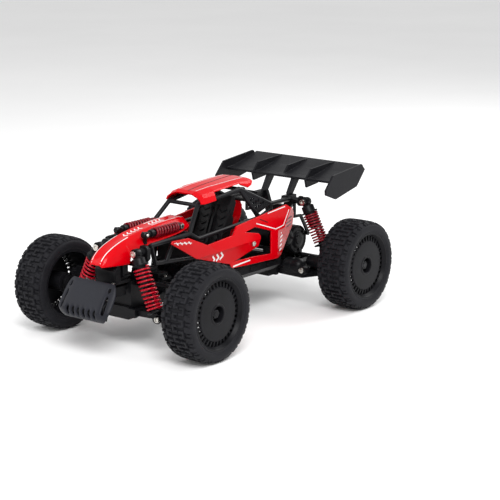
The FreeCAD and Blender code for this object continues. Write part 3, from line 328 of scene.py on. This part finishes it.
def centre_of(node):
    low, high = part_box(node)
    return (low + high) / 2 / MM


# ---------------------------------------------------------------- wheels

TYRE_RADIUS = 41
TYRE_HALF_WIDTH = 16
LUG_DEPTH = 1.9
LUGS_ROUND = 26
BEAD_RADIUS = 30.5


def crown(along):
    """Radius at the top of the tread, falling away towards the shoulders."""
    edge = abs(along) / TYRE_HALF_WIDTH
    return TYRE_RADIUS - 0.5 * edge ** 2 - 2.2 * edge ** 8


def lug(shape, place, outline, arc):
    """One tread block. Its outline is (along the axle, round the tyre)."""
    rings = []
    for inset, sink in ((-0.3, LUG_DEPTH + 0.3), (0, 0.5), (0.4, 0)):
        ring = []
        for along, distance in shrunk(outline, inset):
            radius = crown(along) - sink
            angle = (arc + distance) / TYRE_RADIUS
            along = max(-TYRE_HALF_WIDTH, min(TYRE_HALF_WIDTH, along))
            ring.append(place @ Vector((along, radius * math.sin(angle), radius * math.cos(angle))))
        rings.append(ring)
    shape.rings(rings)


def bracket(middle, opening, length=6.8, width=5.6, arm=2.1, web=2.2):
    """A C-shaped tread block, open towards +axle (1) or -axle (-1)."""
    half, side = length / 2, width / 2
    outline = [(-side, -half), (side, -half), (side, arm - half), (web - side, arm - half),
               (web - side, half - arm), (side, half - arm), (side, half), (-side, half)]
    return [(middle + opening * x, y) for x, y in outline]


def tyre(corner, body):
    node = f"{corner}_tyre"
    place = Matrix.Translation(centre_of(node))
    shape = Builder()
    half = [(13.6, BEAD_RADIUS - 1.5), (15, BEAD_RADIUS - 0.3), (15.5, BEAD_RADIUS + 0.5),
            (15.3, BEAD_RADIUS + 1.1), (15.7, BEAD_RADIUS + 1.7), (16, BEAD_RADIUS + 3.2),
            (16, BEAD_RADIUS + 5), (15.7, BEAD_RADIUS + 6.4), (15.2, BEAD_RADIUS + 7.3),
            (14.3, BEAD_RADIUS + 8), (12.6, BEAD_RADIUS + 8.3), (9, BEAD_RADIUS + 8.5),
            (4, BEAD_RADIUS + 8.6)]
    profile = half + [(-along, radius) for along, radius in reversed(half)]
    shape.lathe(profile, place, 144, closed=True)
    pitch = 2 * math.pi * TYRE_RADIUS / LUGS_ROUND
    for index in range(LUGS_ROUND):
        arc = index * pitch
        lug(shape, place, bracket(0, 1), arc)
        for side in (-1, 1):
            lug(shape, place, bracket(side * 6.5, -side), arc + pitch / 2)
            shoulder = [(9.9, -2.2), (11.4, -2.2), (12, -3), (14.9, -3), (14.9, 1.6), (12.8, 1.6),
                        (12, 2.6), (9.9, 2.6)]
            rib = [(11.8, -1), (14.9, -1), (14.9, 1.2), (11.8, 1.2)]
            lug(shape, place, [(side * x, y) for x, y in shoulder], arc)
            lug(shape, place, [(side * x, y) for x, y in rib], arc + pitch / 2)
    shape.build(node + "_tread", "tyre", body, [node], sharp=40)


def rim(corner, body, side):
    """Barrel with a rolled lip, a flat disc and a ring of bars between them."""
    node = f"{corner}_rim"
    flip = Matrix.Rotation(0 if side > 0 else math.pi, 4, "Z")
    low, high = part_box(f"{corner}_tyre")
    place = Matrix.Translation((low + high) / 2 / MM) @ flip
    shape = Builder()
    shape.lathe([(-15, 28), (-15, 30.4), (14.4, 30.4), (14.9, 30), (14.9, 29.2), (14.4, 28.7),
                 (13.2, 28.2), (12.2, 27.2), (11.4, 26.9), (11.4, 28)], place, 120, closed=True)
    shape.lathe([(12, 22.8), (12.6, 22.3), (12.7, 21.6), (12.7, 9), (13.1, 8.6), (13.1, 7.4),
                 (12.7, 6.9), (6, 6.8), (6, 2.7), (-9, 2.7), (-9, 8.5), (10.2, 8.5), (10.2, 22.8)],
                place, 120, closed=True)
    bars = 36
    for index in range(bars):
        turn = place @ Matrix.Rotation(2 * math.pi * index / bars, 4, "X")
        bar = [(12.3, 22.6), (11.5, 27.4), (8.4, 28.2), (8.4, 22.6)]
        rings = [[turn @ Vector((along, width, radius)) for along, radius in bar]
                 for width in (-0.85, 0.85)]
        shape.rings(rings)
    shape.build(node + "_disc", "rim", body, [node], bevel=0.15, sharp=30)


for end in ("front", "rear"):
    for word, sign in SIDES.items():
        wheel_body = f"{end}_{word}_wheel"
        tyre(f"{end}_{word}", wheel_body)
        rim(f"{end}_{word}", wheel_body, sign)


# ---------------------------------------------------------------- springs and dampers

SPRING_RADIUS = 6.4
SEAT_DROP = 11
CUP_RISE = 6.6
SHOCKS = {
    "front": {"top": (21, 83.4), "foot": (45, 31.8), "y": -112.5, "finish": "spring"},
    "rear": {"top": (40, 96.3), "foot": (62, 54), "y": 100, "finish": "dark_spring"},
}


def coil(shape, place, start, end, turns, radius, wire):
    """A wire wound about the local X axis, with a closed turn at each end."""
    steps = int(turns * 28)
    path = []
    for step in range(steps + 1):
        done = step / steps
        wound = min(max((done * turns - 0.8) / (turns - 1.6), 0), 1)
        settled = wound * wound * (3 - 2 * wound) * 0.15 + wound * 0.85
        closing = (done * turns - 0.8 if done < 0.5 else (done - 1) * turns + 0.8)
        closing = min(closing, 0) if done < 0.5 else max(closing, 0)
        along = start + (end - start) * (0.06 + 0.88 * settled) + closing * (end - start) * 0.06
        angle = 2 * math.pi * turns * done
        path.append(place @ Vector((along, radius * math.sin(angle), radius * math.cos(angle))))
    shape.tube(path, wire, 8)


def spring(corner, end, side):
    facts = SHOCKS[end]
    top = Vector((side * facts["top"][0], facts["y"], facts["top"][1]))
    foot = Vector((side * facts["foot"][0], facts["y"], facts["foot"][1]))
    down = (foot - top).normalized()
    length = (foot - top).length
    wire = 0.85
    shape = Builder()
    start, finish = SEAT_DROP + wire, length - CUP_RISE - wire
    coil(shape, facing(top, down), start, finish, 11.4, SPRING_RADIUS, wire)
    obj = shape.build(f"{corner}_coil", facts["finish"], f"{corner}_shock_cylinder",
                      [f"{corner}_spring"], sharp=80)
    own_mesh(obj)


for end in SHOCKS:
    for word, sign in SIDES.items():
        spring(f"{end}_{word}", end, sign)


def pan_head(shape, centre, direction, radius=2.7):
    """A domed screw head with a round recess in its top."""
    place = facing(centre, direction)
    shape.lathe([(-0.4, radius), (0.5, radius), (1.1, radius * 0.86), (1.4, radius * 0.55),
                 (1.4, radius * 0.42), (0.7, radius * 0.3), (0.7, 0)], place, 24)


def arm_screws():
    for word, sign in SIDES.items():
        shape = Builder()
        pan_head(shape, (sign * 46.6, -116.6, 31.8), (0, -1, 0))
        shape.build(f"front_{word}_foot_screw", "steel", f"front_{word}_lower_arm")
        shape = Builder()
        pan_head(shape, (sign * 50, 80.6, 36.2), (0, -1, 0))
        shape.build(f"rear_{word}_arm_screw", "steel", f"rear_{word}_arm")


arm_screws()


# ---------------------------------------------------------------- bonnet, roof and flanks

def skin_over(shape, stations):
    """Grid of quads from rows of right-hand (x, z) points, edge first and centre last."""
    rows = []
    for y, half in stations:
        row = [(x, y, z) for x, z in half]
        rows.append(row + [(-x, y, z) for x, z in reversed(half[:-1])])
    shape.rings([[Vector(point) for point in row] for row in rows], closed=False, caps=False)


def crease(obj, test, amount=0.85):
    """Keeps the edges that pass the test firm under subdivision."""
    mesh = obj.data
    weights = mesh.attributes.new("crease_edge", "FLOAT", "EDGE")
    for edge in mesh.edges:
        first, second = (mesh.vertices[index].co / MM for index in edge.vertices)
        weights.data[edge.index].value = amount if test(first, second) else 0


def tree_of(obj):
    """The shown surface of an object, to lay trim on."""
    evaluated = obj.evaluated_get(bpy.context.evaluated_depsgraph_get())
    mesh = evaluated.to_mesh()
    points = [vertex.co / MM for vertex in mesh.vertices]
    tree = BVHTree.FromPolygons(points, [list(polygon.vertices) for polygon in mesh.polygons])
    evaluated.to_mesh_clear()
    return tree


def ribbon(shape, tree, path, width, along, lift=0.15, step=1.5):
    """A thin strip laid on a surface along a path; along is the direction it is dropped in."""
    drop = Vector(along)
    line = []
    for first, second in zip(path, path[1:]):
        first, second = Vector(first), Vector(second)
        parts = max(1, int((second - first).length / step))
        line += [first.lerp(second, part / parts) for part in range(parts)]
    line.append(Vector(path[-1]))
    rows = []
    for index, point in enumerate(line):
        ahead = line[min(index + 1, len(line) - 1)] - line[max(index - 1, 0)]
        across = ahead.cross(drop).normalized() * width / 2
        row = []
        for offset in (-across, across):
            hit = tree.ray_cast(point + offset - drop * 200, drop)
            if hit[0] is None:
                break
            row.append(hit[0] - drop * lift)
        if len(row) == 2:
            rows.append(row + [point + drop * 0.3 for point in reversed(row)])
    if len(rows) > 1:
        shape.rings(rows)


def hood():
    shape = Builder()
    skin_over(shape, [
        (-139.6, [(6.8, 74.4), (6.3, 74.7), (5.6, 75.2), (4.4, 75.8), (0, 75.6)]),
        (-138.4, [(8.2, 74.4), (7.6, 76), (6.4, 77.4), (4.6, 78.4), (0, 78)]),
        (-135.6, [(9.8, 74.4), (9.2, 77.6), (7.6, 80.6), (5, 82.2), (0, 81.6)]),
        (-130, [(12, 74.4), (11.2, 79.2), (9, 83.8), (5.4, 86.2), (0, 85.6)]),
        (-122, [(13.6, 74), (12.8, 80.4), (10.2, 87), (5.8, 89.8), (0, 89)]),
        (-113.2, [(14.8, 73.8), (13.8, 81.6), (11, 89), (6, 92.5), (0, 91.6)]),
        (-112.6, [(15, 82.4), (14, 84.6), (11.2, 89.2), (6, 92.7), (0, 91.8)]),
        (-100, [(15.8, 84.8), (14.8, 86.8), (11.4, 91.6), (6, 95.7), (0, 94.8)]),
        (-90, [(16.4, 86.8), (15.6, 88.4), (11.4, 92.8), (6.2, 97.2), (0, 96.4)]),
        (-66, [(18.8, 89.6), (17.6, 90.6), (11.6, 94), (6.4, 100), (0, 99.4)]),
        (-48, [(18.6, 91.4), (17.4, 92.2), (11.8, 94.8), (6.6, 100.5), (0, 100)]),
        (-36, [(15.2, 94), (14.4, 94.4), (12, 96), (7.4, 100.5), (0, 100.2)]),
    ])
    obj = shape.build("hood_skin", "red", "chassis", ["hood"], subdivide=2, skin=1.3, sharp=60)
    ridge = lambda point: 4.3 < abs(point.x) < 7.5 and point.z > 75.7
    crease(obj, lambda first, second: (ridge(first) and ridge(second) and first.x * second.x > 0)
           or (abs(first.y + 113) < 0.7 and abs(second.y + 113) < 0.7), 0.8)
    return obj


HOOD = hood()
HOOD_SURFACE = tree_of(HOOD)


def hood_trim():
    white = Builder()
    down = (0, 0, -1)
    for sign in SIDES.values():
        # The white lines along each bonnet ridge, ahead of and behind the dampers, are painted highlights
        # for the shine along the crease; the chevron bars are printed decals.
        ridge = [(sign * 5, -138.8, 0), (sign * 5.6, -128, 0), (sign * 6, -106, 0)]
        ribbon(white, HOOD_SURFACE, ridge, 0.7, down)
        tail = [(sign * 4.6, -74, 0), (sign * 5.2, -44, 0)]
        ribbon(white, HOOD_SURFACE, tail, 0.6, down)
    for bar in range(5):
        y = -104 + bar * 4.6
        ribbon(white, HOOD_SURFACE, [(-2.6, y + 2.2, 0), (0, y, 0), (2.6, y + 2.2, 0)], 1.1, down, step=0.7)
    for bar in range(4):
        y = -72 + bar * 4.6
        ribbon(white, HOOD_SURFACE, [(-3, y + 2.4, 0), (0, y, 0), (3, y + 2.4, 0)], 1.3, down, step=0.7)
    white.build("hood_decals_and_painted_highlights", "decal_and_painted_highlight", "chassis", sharp=60)


hood_trim()


def hood_dampers():
    """Two small dampers along the bonnet: black rod ends, a red coil and a rear eye."""
    coils, black, bright = Builder(), Builder(), Builder()
    x, z = 15.4, 95.4
    for sign in SIDES.values():
        place = facing((sign * x, -98, z), (0, 1, 0))
        black.lathe([(0, 0), (0, 2), (0.6, 2.6), (5, 2.6), (5.4, 2.2), (9, 2.2), (9.4, 3.4),
                     (13, 3.4), (13.4, 2.7), (44, 2.7), (44.4, 3.6), (46, 3.6), (46.4, 1.6),
                     (47.5, 1.6), (47.5, 0)], place, 24)
        coil(coils, place, 13.8, 43.8, 9.4, 3.7, 0.95)
        eye = facing((sign * x, -49, z + 0.2), (sign, 0, 0))
        coils.lathe([(-2.2, 1.4), (-2.2, 2.6), (-1.6, 3.1), (1.6, 3.1), (2.2, 2.6), (2.2, 1.4)],
                    eye, 28, closed=True)
        black.lathe([(-2.3, 0), (-2.3, 1.5), (2.3, 1.5), (2.7, 1.1), (2.7, 0)], eye, 20)
        bright.lathe([(1.9, 1.4), (2.5, 1.5), (2.5, 2.1), (1.9, 2.3)], eye, 24, closed=True)
        front = facing((sign * x, -94.4, z), (sign, 0, 0))
        black.lathe([(-3, 0), (-3, 2.4), (3, 2.4), (3, 0)], front, 20)
        bright.lathe([(3, 0), (3, 1.5), (3.4, 1.2), (3.6, 0)], front, 16)
        for y, low in ((-94.4, 87.6), (-50.5, 91.4)):
            foot = [(y - 1.4, low), (y + 1.4, low), (y + 1.4, z), (y - 1.4, z)]
            rings = [[Vector((sign * side_x, a, b)) for a, b in foot] for side_x in (x - 1.6, x + 0.6)]
            black.rings(rings)
    coils.build("hood_damper_coils", "dark_spring", "chassis", ["hood_shocks"], sharp=60)
    black.build("hood_damper_rods", "plastic", "chassis", sharp=40)
    bright.build("hood_damper_screws", "steel", "chassis", sharp=40)


hood_dampers()


def roof():
    shape = Builder()
    skin_over(shape, [
        (-26.4, [(20.4, 111.2), (18.8, 114.4), (15.4, 116.6), (9, 119.2), (0, 119.2)]),
        (-22, [(21.2, 110.9), (19.2, 115.6), (16.4, 118.4), (10.4, 120.9), (0, 121)]),
        (-7, [(21.4, 111.9), (19.8, 116.6), (17.8, 119.8), (12, 122.1), (0, 122.4)]),
        (-6.6, [(18.4, 118.9), (18.2, 119.4), (17.6, 120.2), (12, 122.2), (0, 122.5)]),
        (29.6, [(18, 121), (17.8, 121.6), (17, 122.3), (12.4, 123.7), (0, 124)]),
        (30, [(18.8, 120), (18.4, 121.2), (17.2, 122.3), (12.4, 123.7), (0, 124)]),
        (39.5, [(20.4, 116.5), (19.2, 119.4), (17.4, 121.8), (12.6, 123.9), (0, 124.3)]),
        (44, [(20.4, 118.2), (19.2, 120), (17.4, 121.6), (12.8, 123.7), (0, 124.3)]),
        (49, [(17.6, 120.6), (16.8, 121.2), (15.2, 122), (12, 122.8), (0, 123.4)]),
    ])
    return shape.build("roof_skin", "red", "chassis", ["roof_panel"], skin=1.3, bevel=0.35, sharp=14)


ROOF = roof()
ROOF_SURFACE = tree_of(ROOF)


def roof_trim():
    dark, white = Builder(), Builder()
    down = (0, 0, -1)
    ribbon(dark, ROOF_SURFACE, [(2.4, -23, 0), (-3, 44, 0)], 0.8, down)
    for sign in SIDES.values():
        ribbon(white, ROOF_SURFACE, [(sign * 9.4, -21, 0), (sign * 11, 42, 0)], 0.45, down)
    dark.build("roof_seam", "plastic", "chassis")
    white.build("roof_stripes", "decal_and_painted_highlight", "chassis")


roof_trim()


PANEL_X = 37
PANEL_POINTS = {
    "tip": (-81, 87.2, -4), "tip_top": (-79.6, 89.6, -4), "brow": (-60, 89.2, -2.4),
    "dip": (-37.5, 79.4, -0.4), "step": (-3, 82.2, 0), "step_top": (3, 89.2, -1),
    "waist": (38, 93, -1), "shoulder": (77, 96.8, -1.6), "fold_top": (82.4, 93.4, -0.5),
    "fold_mid": (70.4, 76.6, 0.9), "fold_in": (61, 75.9, 1.1), "fold_low": (61.3, 51.8, 0.6),
    "window_a": (14.2, 81.9, 0), "window_b": (28.6, 84.2, -0.3), "window_c": (51.2, 76.9, 0.8),
    "window_d": (51.4, 55.5, 0.6), "window_e": (27.6, 57.1, -0.6), "window_f": (0, 57.4, -1.6),
    "tongue_low": (34.3, 65.7, -0.8), "tongue_mid": (35.2, 72.5, 1.2), "tongue_end": (35.4, 75.4, 0.8),
    "tongue_top": (33, 77.9, 0.4), "keel": (-24, 71.5, 1.6), "heel": (63, 49.2, -0.8),
    "sill_b": (33, 50.2, -1.2), "sill_c": (-3, 52, -1.6), "sill_d": (-5, 56, -1.8),
    "chin": (-50.8, 69.4, -2.2), "tail_a": (91, 91, -5.4), "tail_b": (94.6, 85.6, -6),
    "tail_c": (92.4, 74.4, -6), "tail_d": (82.6, 62.2, -5.4), "tail_e": (73.6, 49.8, -5),
}
PANEL_FACES = [
    "tip tip_top brow chin", "brow dip keel chin",
    "dip step window_a tongue_top tongue_end tongue_mid keel",
    "step step_top window_a", "step_top waist window_b window_a",
    "waist shoulder fold_top fold_mid fold_in window_c window_b",
    "keel tongue_mid tongue_low window_f sill_d chin", "window_f window_e sill_b sill_c sill_d",
    "window_e window_d fold_low heel sill_b", "window_c fold_in fold_low window_d",
    "fold_top tail_a tail_b tail_c fold_mid", "fold_mid tail_c tail_d fold_in",
    "fold_in tail_d tail_e heel fold_low",
]


def flank(word, side):
    shape = Builder()
    names = list(PANEL_POINTS)
    points = [(side * (PANEL_X + depth), y, z) for y, z, depth in PANEL_POINTS.values()]
    shape.add(points, [[names.index(name) for name in face.split()] for face in PANEL_FACES])
    work = shape.build(f"flank_{word}", "red", "chassis", [f"side_panel_{word}"], sharp=4)
    outward = sum(polygon.normal.x * polygon.area for polygon in work.data.polygons) * side
    if outward < 0:
        work.data.flip_normals()
    thicken = work.modifiers.new("skin", "SOLIDIFY")
    thicken.thickness = 1.6 * MM
    thicken.offset = -1
    round_edges(work, 0.4, angle=8)
    surface_tree = tree_of(work)
    white, dark = Builder(), Builder()
    inward = (-side, 0, 0)

    def line(builder, points, width, step=2.0):
        ribbon(builder, surface_tree, [(0, y, z) for y, z in points], width, inward, step=step)

    line(white, [(30.4, 87), (57.5, 77.6), (69.2, 79.2), (79, 92)], 0.8)
    line(white, [(-1.4, 53.4), (22.2, 55)], 1.3)
    # A painted highlight along the dipping top edge, drawn as a white line.
    line(white, [(-52.8, 84.6), (-39.8, 78.4)], 0.6)
    line(white, [(-78, 87.6), (-57, 84.6)], 0.5)
    for bar in range(4):
        y = -76 + bar * 5
        line(white, [(y, 87.8 - bar * 0.5), (y + 3, 85.4 - bar * 0.5)], 1.1, 1.0)
    for bar in range(3):
        y = -31 + bar * 5.4
        line(white, [(y, 61.6 + bar * 0.8), (y + 4, 64.6 + bar * 0.8), (y + 1, 68 + bar * 0.8)], 1.6, 0.8)
    for bar in range(5):
        z = 56 + bar * 4
        line(white, [(64.6 + bar * 0.7, z), (69.6 + bar * 0.7, z + 1.2)], 1.5, 1.0)
    line(white, [(48, 93.2), (74, 95.4)], 0.8)
    for bar in range(5):
        z = 82.6 - bar * 3.4
        line(dark, [(74.4 - bar * 0.2, z), (88, z + 1)], 0.9, 2.0)
    line(dark, [(35.9, 89.9), (47, 85.2)], 0.7)
    screw = Builder()
    pan_head(screw, (side * (PANEL_X + 1.6), 24.2, 69.9), (side, 0, 0), 2.3)
    screw.build(f"flank_{word}_screw", "steel", "chassis")
    white.build(f"flank_{word}_stripes", "decal_and_painted_highlight", "chassis")
    dark.build(f"flank_{word}_vents", "plastic", "chassis")


for word, sign in SIDES.items():
    flank(word, sign)


# ---------------------------------------------------------------- front plate and seats

def bumper():
    """Leaning plate with swept sides, long side slots, round upper holes and six lower slots."""
    front = -160
    rows = [(18, 64, 22.8), (14.6, 60.6, 25.8), (11.8, 57, 27.6), (10, 54.6, 28.4), (5.4, 48, 29),
            (2, 43.4, 29), (0.1, 40, 28.4), (2.6, 35, 25.4), (6.4, 31.4, 20.6)]
    slot_pitch, slot_half = 5.9, 1.25
    columns = [0]
    for slot in range(3):
        middle = (slot + 0.5) * slot_pitch
        columns += [middle - slot_half, middle + slot_half]
    columns += [18.4, 20.6, 23.2, 25.6, 28.5]
    holes = {(row, column) for row in (5, 6) for column in (1, 3, 5)}
    holes |= {(row, 8) for row in (3, 4, 5)} | {(1, 8)}
    shape = Builder()
    for side in SIDES.values():
        grid = []
        for depth, height, reach in rows:
            line = []
            for x in columns:
                lean = (55 - height) * 0.1 if x > 19 else 0
                x = min(x + lean, reach - (28.5 - x) * 0.25)
                bend = max(0, (x - 17.5) / 11)
                line.append((side * x, front + depth + 4.2 * bend * bend, height))
            grid.append(line)
        points = [point for line in grid for point in line]
        width = len(columns)
        faces = []
        for row in range(len(rows) - 1):
            for column in range(width - 1):
                if (row, column) not in holes:
                    corner = row * width + column
                    faces.append((corner, corner + 1, corner + width + 1, corner + width))
        shape.add(points, faces)
    plate = shape.build("bumper_plate", "bumper", "chassis", ["front_bumper"], sharp=60)
    if sum(polygon.normal.y * polygon.area for polygon in plate.data.polygons) > 0:
        plate.data.flip_normals()
    thicken = plate.modifiers.new("skin", "SOLIDIFY")
    thicken.thickness = 2.4 * MM
    thicken.offset = -1
    smoothing = plate.modifiers.new("smoothing", "SUBSURF")
    smoothing.levels = smoothing.render_levels = 2
    bracket_arm = Builder()
    arm = [(-9, -147.5), (9, -147.5), (9, -110), (-9, -110)]
    bracket_arm.slab(arm, at(0, 0, 50.8), 4)
    for side in (-1, 1):
        bracket_arm.slab([(side * 9, -147), (side * 6.6, -147), (side * 6.6, -112), (side * 9, -112)],
                         at(0, 0, 46.4), 5)
    backing = [(-154.6, 46.5), (-155.4, 41), (-154.8, 35.4), (-151, 33.6), (-147, 48), (-149, 50.8)]
    bracket_arm.rings([[Vector((x, y, z)) for y, z in backing] for x in (-23, 23)])
    bracket_arm.build("bumper_bracket", "plastic", "chassis", bevel=0.5)


bumper()


def nose_block():
    """Moulded housing under the bonnet's beak, with a framed recess on each side."""
    block = Builder()
    core = [(-127, 57.5), (-110, 57.5), (-110, 73), (-125, 73), (-128, 69)]
    block.rings([[Vector((x, y, z)) for y, z in core] for x in (-9.8, 9.8)])
    for side in SIDES.values():
        for outline in ([(-127, 57.5), (-109, 57.5), (-109, 60), (-127, 60)],
                        [(-127, 60), (-121.6, 60), (-121.6, 73), (-125, 73), (-128, 69)],
                        [(-118.6, 62.4), (-117, 62.4), (-117, 73), (-118.6, 73)],
                        [(-118.6, 62.4), (-109, 62.4), (-109, 64), (-118.6, 64)]):
            block.rings([[Vector((side * x, y, z)) for y, z in outline] for x in (9.6, 11.6)])
    block.build("nose_housing", "plastic", "chassis", bevel=0.4)


nose_block()


def seat_trim():
    """Raised ribs and bolsters on the two bucket seats."""
    ribs = Builder()
    for middle in (-9.6, 9.6):
        for rib in range(6):
            share = 0.12 + rib * 0.14
            y, z = 2 + 17.2 * share - 0.9, 61.5 + 42.5 * share
            chevron = [(-4.6, 2.4), (0, 0), (4.6, 2.4)]
            path = [Vector((middle + x, y + rise * 0.35, z + rise)) for x, rise in chevron]
            ribs.tube(path, 0.8, 8)
        for edge in (-7, 7):
            path = [Vector((middle + edge, 8, 70)), Vector((middle + edge * 1.02, 13.4, 88)),
                    Vector((middle + edge * 0.9, 17.2, 103))]
            ribs.tube(path, 1.1, 10)
        for rib in range(4):
            y = -13 + rib * 4
            ribs.tube([Vector((middle - 5, y, 65.1)), Vector((middle + 5, y, 65.1))], 0.6, 8)
    ribs.build("seat_ribs", "seat", "chassis", sharp=50)


seat_trim()


def drive_trim():
    """Stepped cap, rim beads and small screws on the gear cover."""
    black, bright = Builder(), Builder()
    cap = facing((26, 107, 57.5), (1, 0, 0))
    black.lathe([(-0.2, 13), (0.7, 12.8), (0.9, 11.8), (0.3, 11.2), (0.3, 8.6), (0.9, 8.2),
                 (1.5, 6.8), (1.5, 4.4), (2.4, 4), (2.4, 0)], cap, 48)
    pinion_cap = facing((26, 92.6, 61.9), (1, 0, 0))
    black.lathe([(-0.2, 7.2), (0.6, 7), (1, 6), (1, 3), (0.5, 2.6), (0.5, 0)], pinion_cap, 32)
    for turn in (40, 160, 280):
        angle = math.radians(turn)
        spot = (26.4, 107 + 10 * math.cos(angle), 57.5 + 10 * math.sin(angle))
        pan_head(bright, spot, (1, 0, 0), 1.3)
    black.build("gear_cover_caps", "plastic", "chassis", sharp=35)
    bright.build("gear_cover_screws", "dark_steel", "chassis")


drive_trim()


def rear_arm_trim():
    """Round housings moulded on top of each rear arm."""
    for word, side in SIDES.items():
        shape = Builder()
        barrel = facing((side * 28, 88, 38), (side, 0, 0))
        shape.lathe([(0, 0), (0, 6.2), (0.8, 7), (8, 7), (8.4, 6.6), (9.4, 6.6), (9.8, 7.2),
                     (15, 7), (17.6, 5.8), (19.2, 3.6), (19.8, 0)], barrel, 40)
        pod = facing((side * 42, 102, 40.4), (side, 0, 0))
        shape.lathe([(0, 0), (0.3, 3.4), (1.6, 5.6), (4, 7), (13, 7.2), (13.4, 6.8), (16, 6.6),
                     (16.4, 5.8), (16.4, 0)], pod, 40)
        shape.build(f"rear_{word}_arm_housings", "plastic", f"rear_{word}_arm", sharp=40)


rear_arm_trim()


# ---------------------------------------------------------------- rounding of the kept CAD pieces

ROUNDED = {
    "roll_cage": 0.2, "rear_wing": 0.35, "cockpit_tub": 0.7, "chassis_tub": 0.5,
    "rear_gearbox": 0.5, "front_bulkhead": 0.4, "motor": 0.5, "steering_servo": 0.4,
    "battery_pack": 0.5,
}
ROUNDED_ENDINGS = {
    "_lower_arm": 0.5, "_arm": 0.5, "_upper_arm": 0.4, "_knuckle": 0.5, "_c_hub": 0.5,
    "_shock_cylinder": 0.35, "_shock_rod": 0.35, "_wheel_nut": 0.3, "_driveshaft": 0.4,
}


def round_cad():
    """Rounds the moulded edges of the CAD pieces that stay visible."""
    for name, obj in NODES.items():
        width = ROUNDED.get(name)
        for ending, amount in ROUNDED_ENDINGS.items():
            if width is None and name.endswith(ending):
                width = amount
        if width:
            join = obj.modifiers.new("join_edges", "WELD")
            join.merge_threshold = 1e-6
            round_edges(obj, width, angle=38)
            obj.modifiers["round_edges"].use_clamp_overlap = True


round_cad()


# ---------------------------------------------------------------- studio

def area_light(name, position, target, size, power):
    data = bpy.data.lights.new(name, "AREA")
    data.shape = "RECTANGLE"
    data.size, data.size_y = size
    data.energy = power
    lamp = bpy.data.objects.new(name, data)
    bpy.context.scene.collection.objects.link(lamp)
    lamp.location = position
    lamp.rotation_euler = (Vector(target) - Vector(position)).to_track_quat("-Z", "Y").to_euler()
    return lamp


def studio():
    material, shader = new_material("floor_paper")
    tree = material.node_tree
    place = tree.nodes.new("ShaderNodeTexCoord").outputs["Object"]
    patches = remap(tree, noise(tree, place, 3), 0, 1)
    colour = blend_colours(tree, patches, (0.93, 0.93, 0.93), (0.96, 0.96, 0.96))
    tree.links.new(colour, shader.inputs["Base Color"])
    shader.inputs["Roughness"].default_value = 0.9
    mesh = bpy.data.meshes.new("floor")
    reach = 6.0
    mesh.from_pydata([(-reach, -reach, 0), (reach, -reach, 0), (reach, reach, 0), (-reach, reach, 0)],
                     [], [(0, 1, 2, 3)])
    floor = bpy.data.objects.new("floor", mesh)
    bpy.context.scene.collection.objects.link(floor)
    floor.data.materials.append(material)
    world = bpy.data.worlds.new("studio")
    world.use_nodes = True
    world.node_tree.nodes["Background"].inputs["Color"].default_value = (1, 1, 1, 1)
    world.node_tree.nodes["Background"].inputs["Strength"].default_value = 0.72
    bpy.context.scene.world = world
    bpy.context.scene.view_settings.view_transform = "Standard"
    lights = [
        area_light("key", (0.75, -0.8, 1.1), (0, 0, 0.05), (0.7, 0.7), 17),
        area_light("fill", (-1.1, -0.7, 0.7), (0, 0, 0.05), (0.8, 0.8), 4),
        area_light("rim_light", (0.3, 1.1, 0.9), (0, 0, 0.06), (1.0, 0.6), 9),
    ]


def camera():
    """A long lens, a little above the car and to the front left of it."""
    azimuth, elevation, roll = math.radians(37.85), math.radians(13.12), math.radians(0.14)
    distance = 1.35
    target = Vector((0.0893, -0.0466, 0.0845))
    away = Vector((math.sin(azimuth) * math.cos(elevation),
                   -math.cos(azimuth) * math.cos(elevation), math.sin(elevation)))
    data = bpy.data.cameras.new("camera")
    data.lens = 116.5
    data.sensor_width = 36
    data.clip_end = 50
    holder = bpy.data.objects.new("camera", data)
    bpy.context.scene.collection.objects.link(holder)
    holder.matrix_world = (Matrix.Translation(target + away * distance)
                           @ (-away).to_track_quat("-Z", "Y").to_matrix().to_4x4()
                           @ Matrix.Rotation(roll, 4, "Z"))
    bpy.context.scene.camera = holder


studio()
camera()
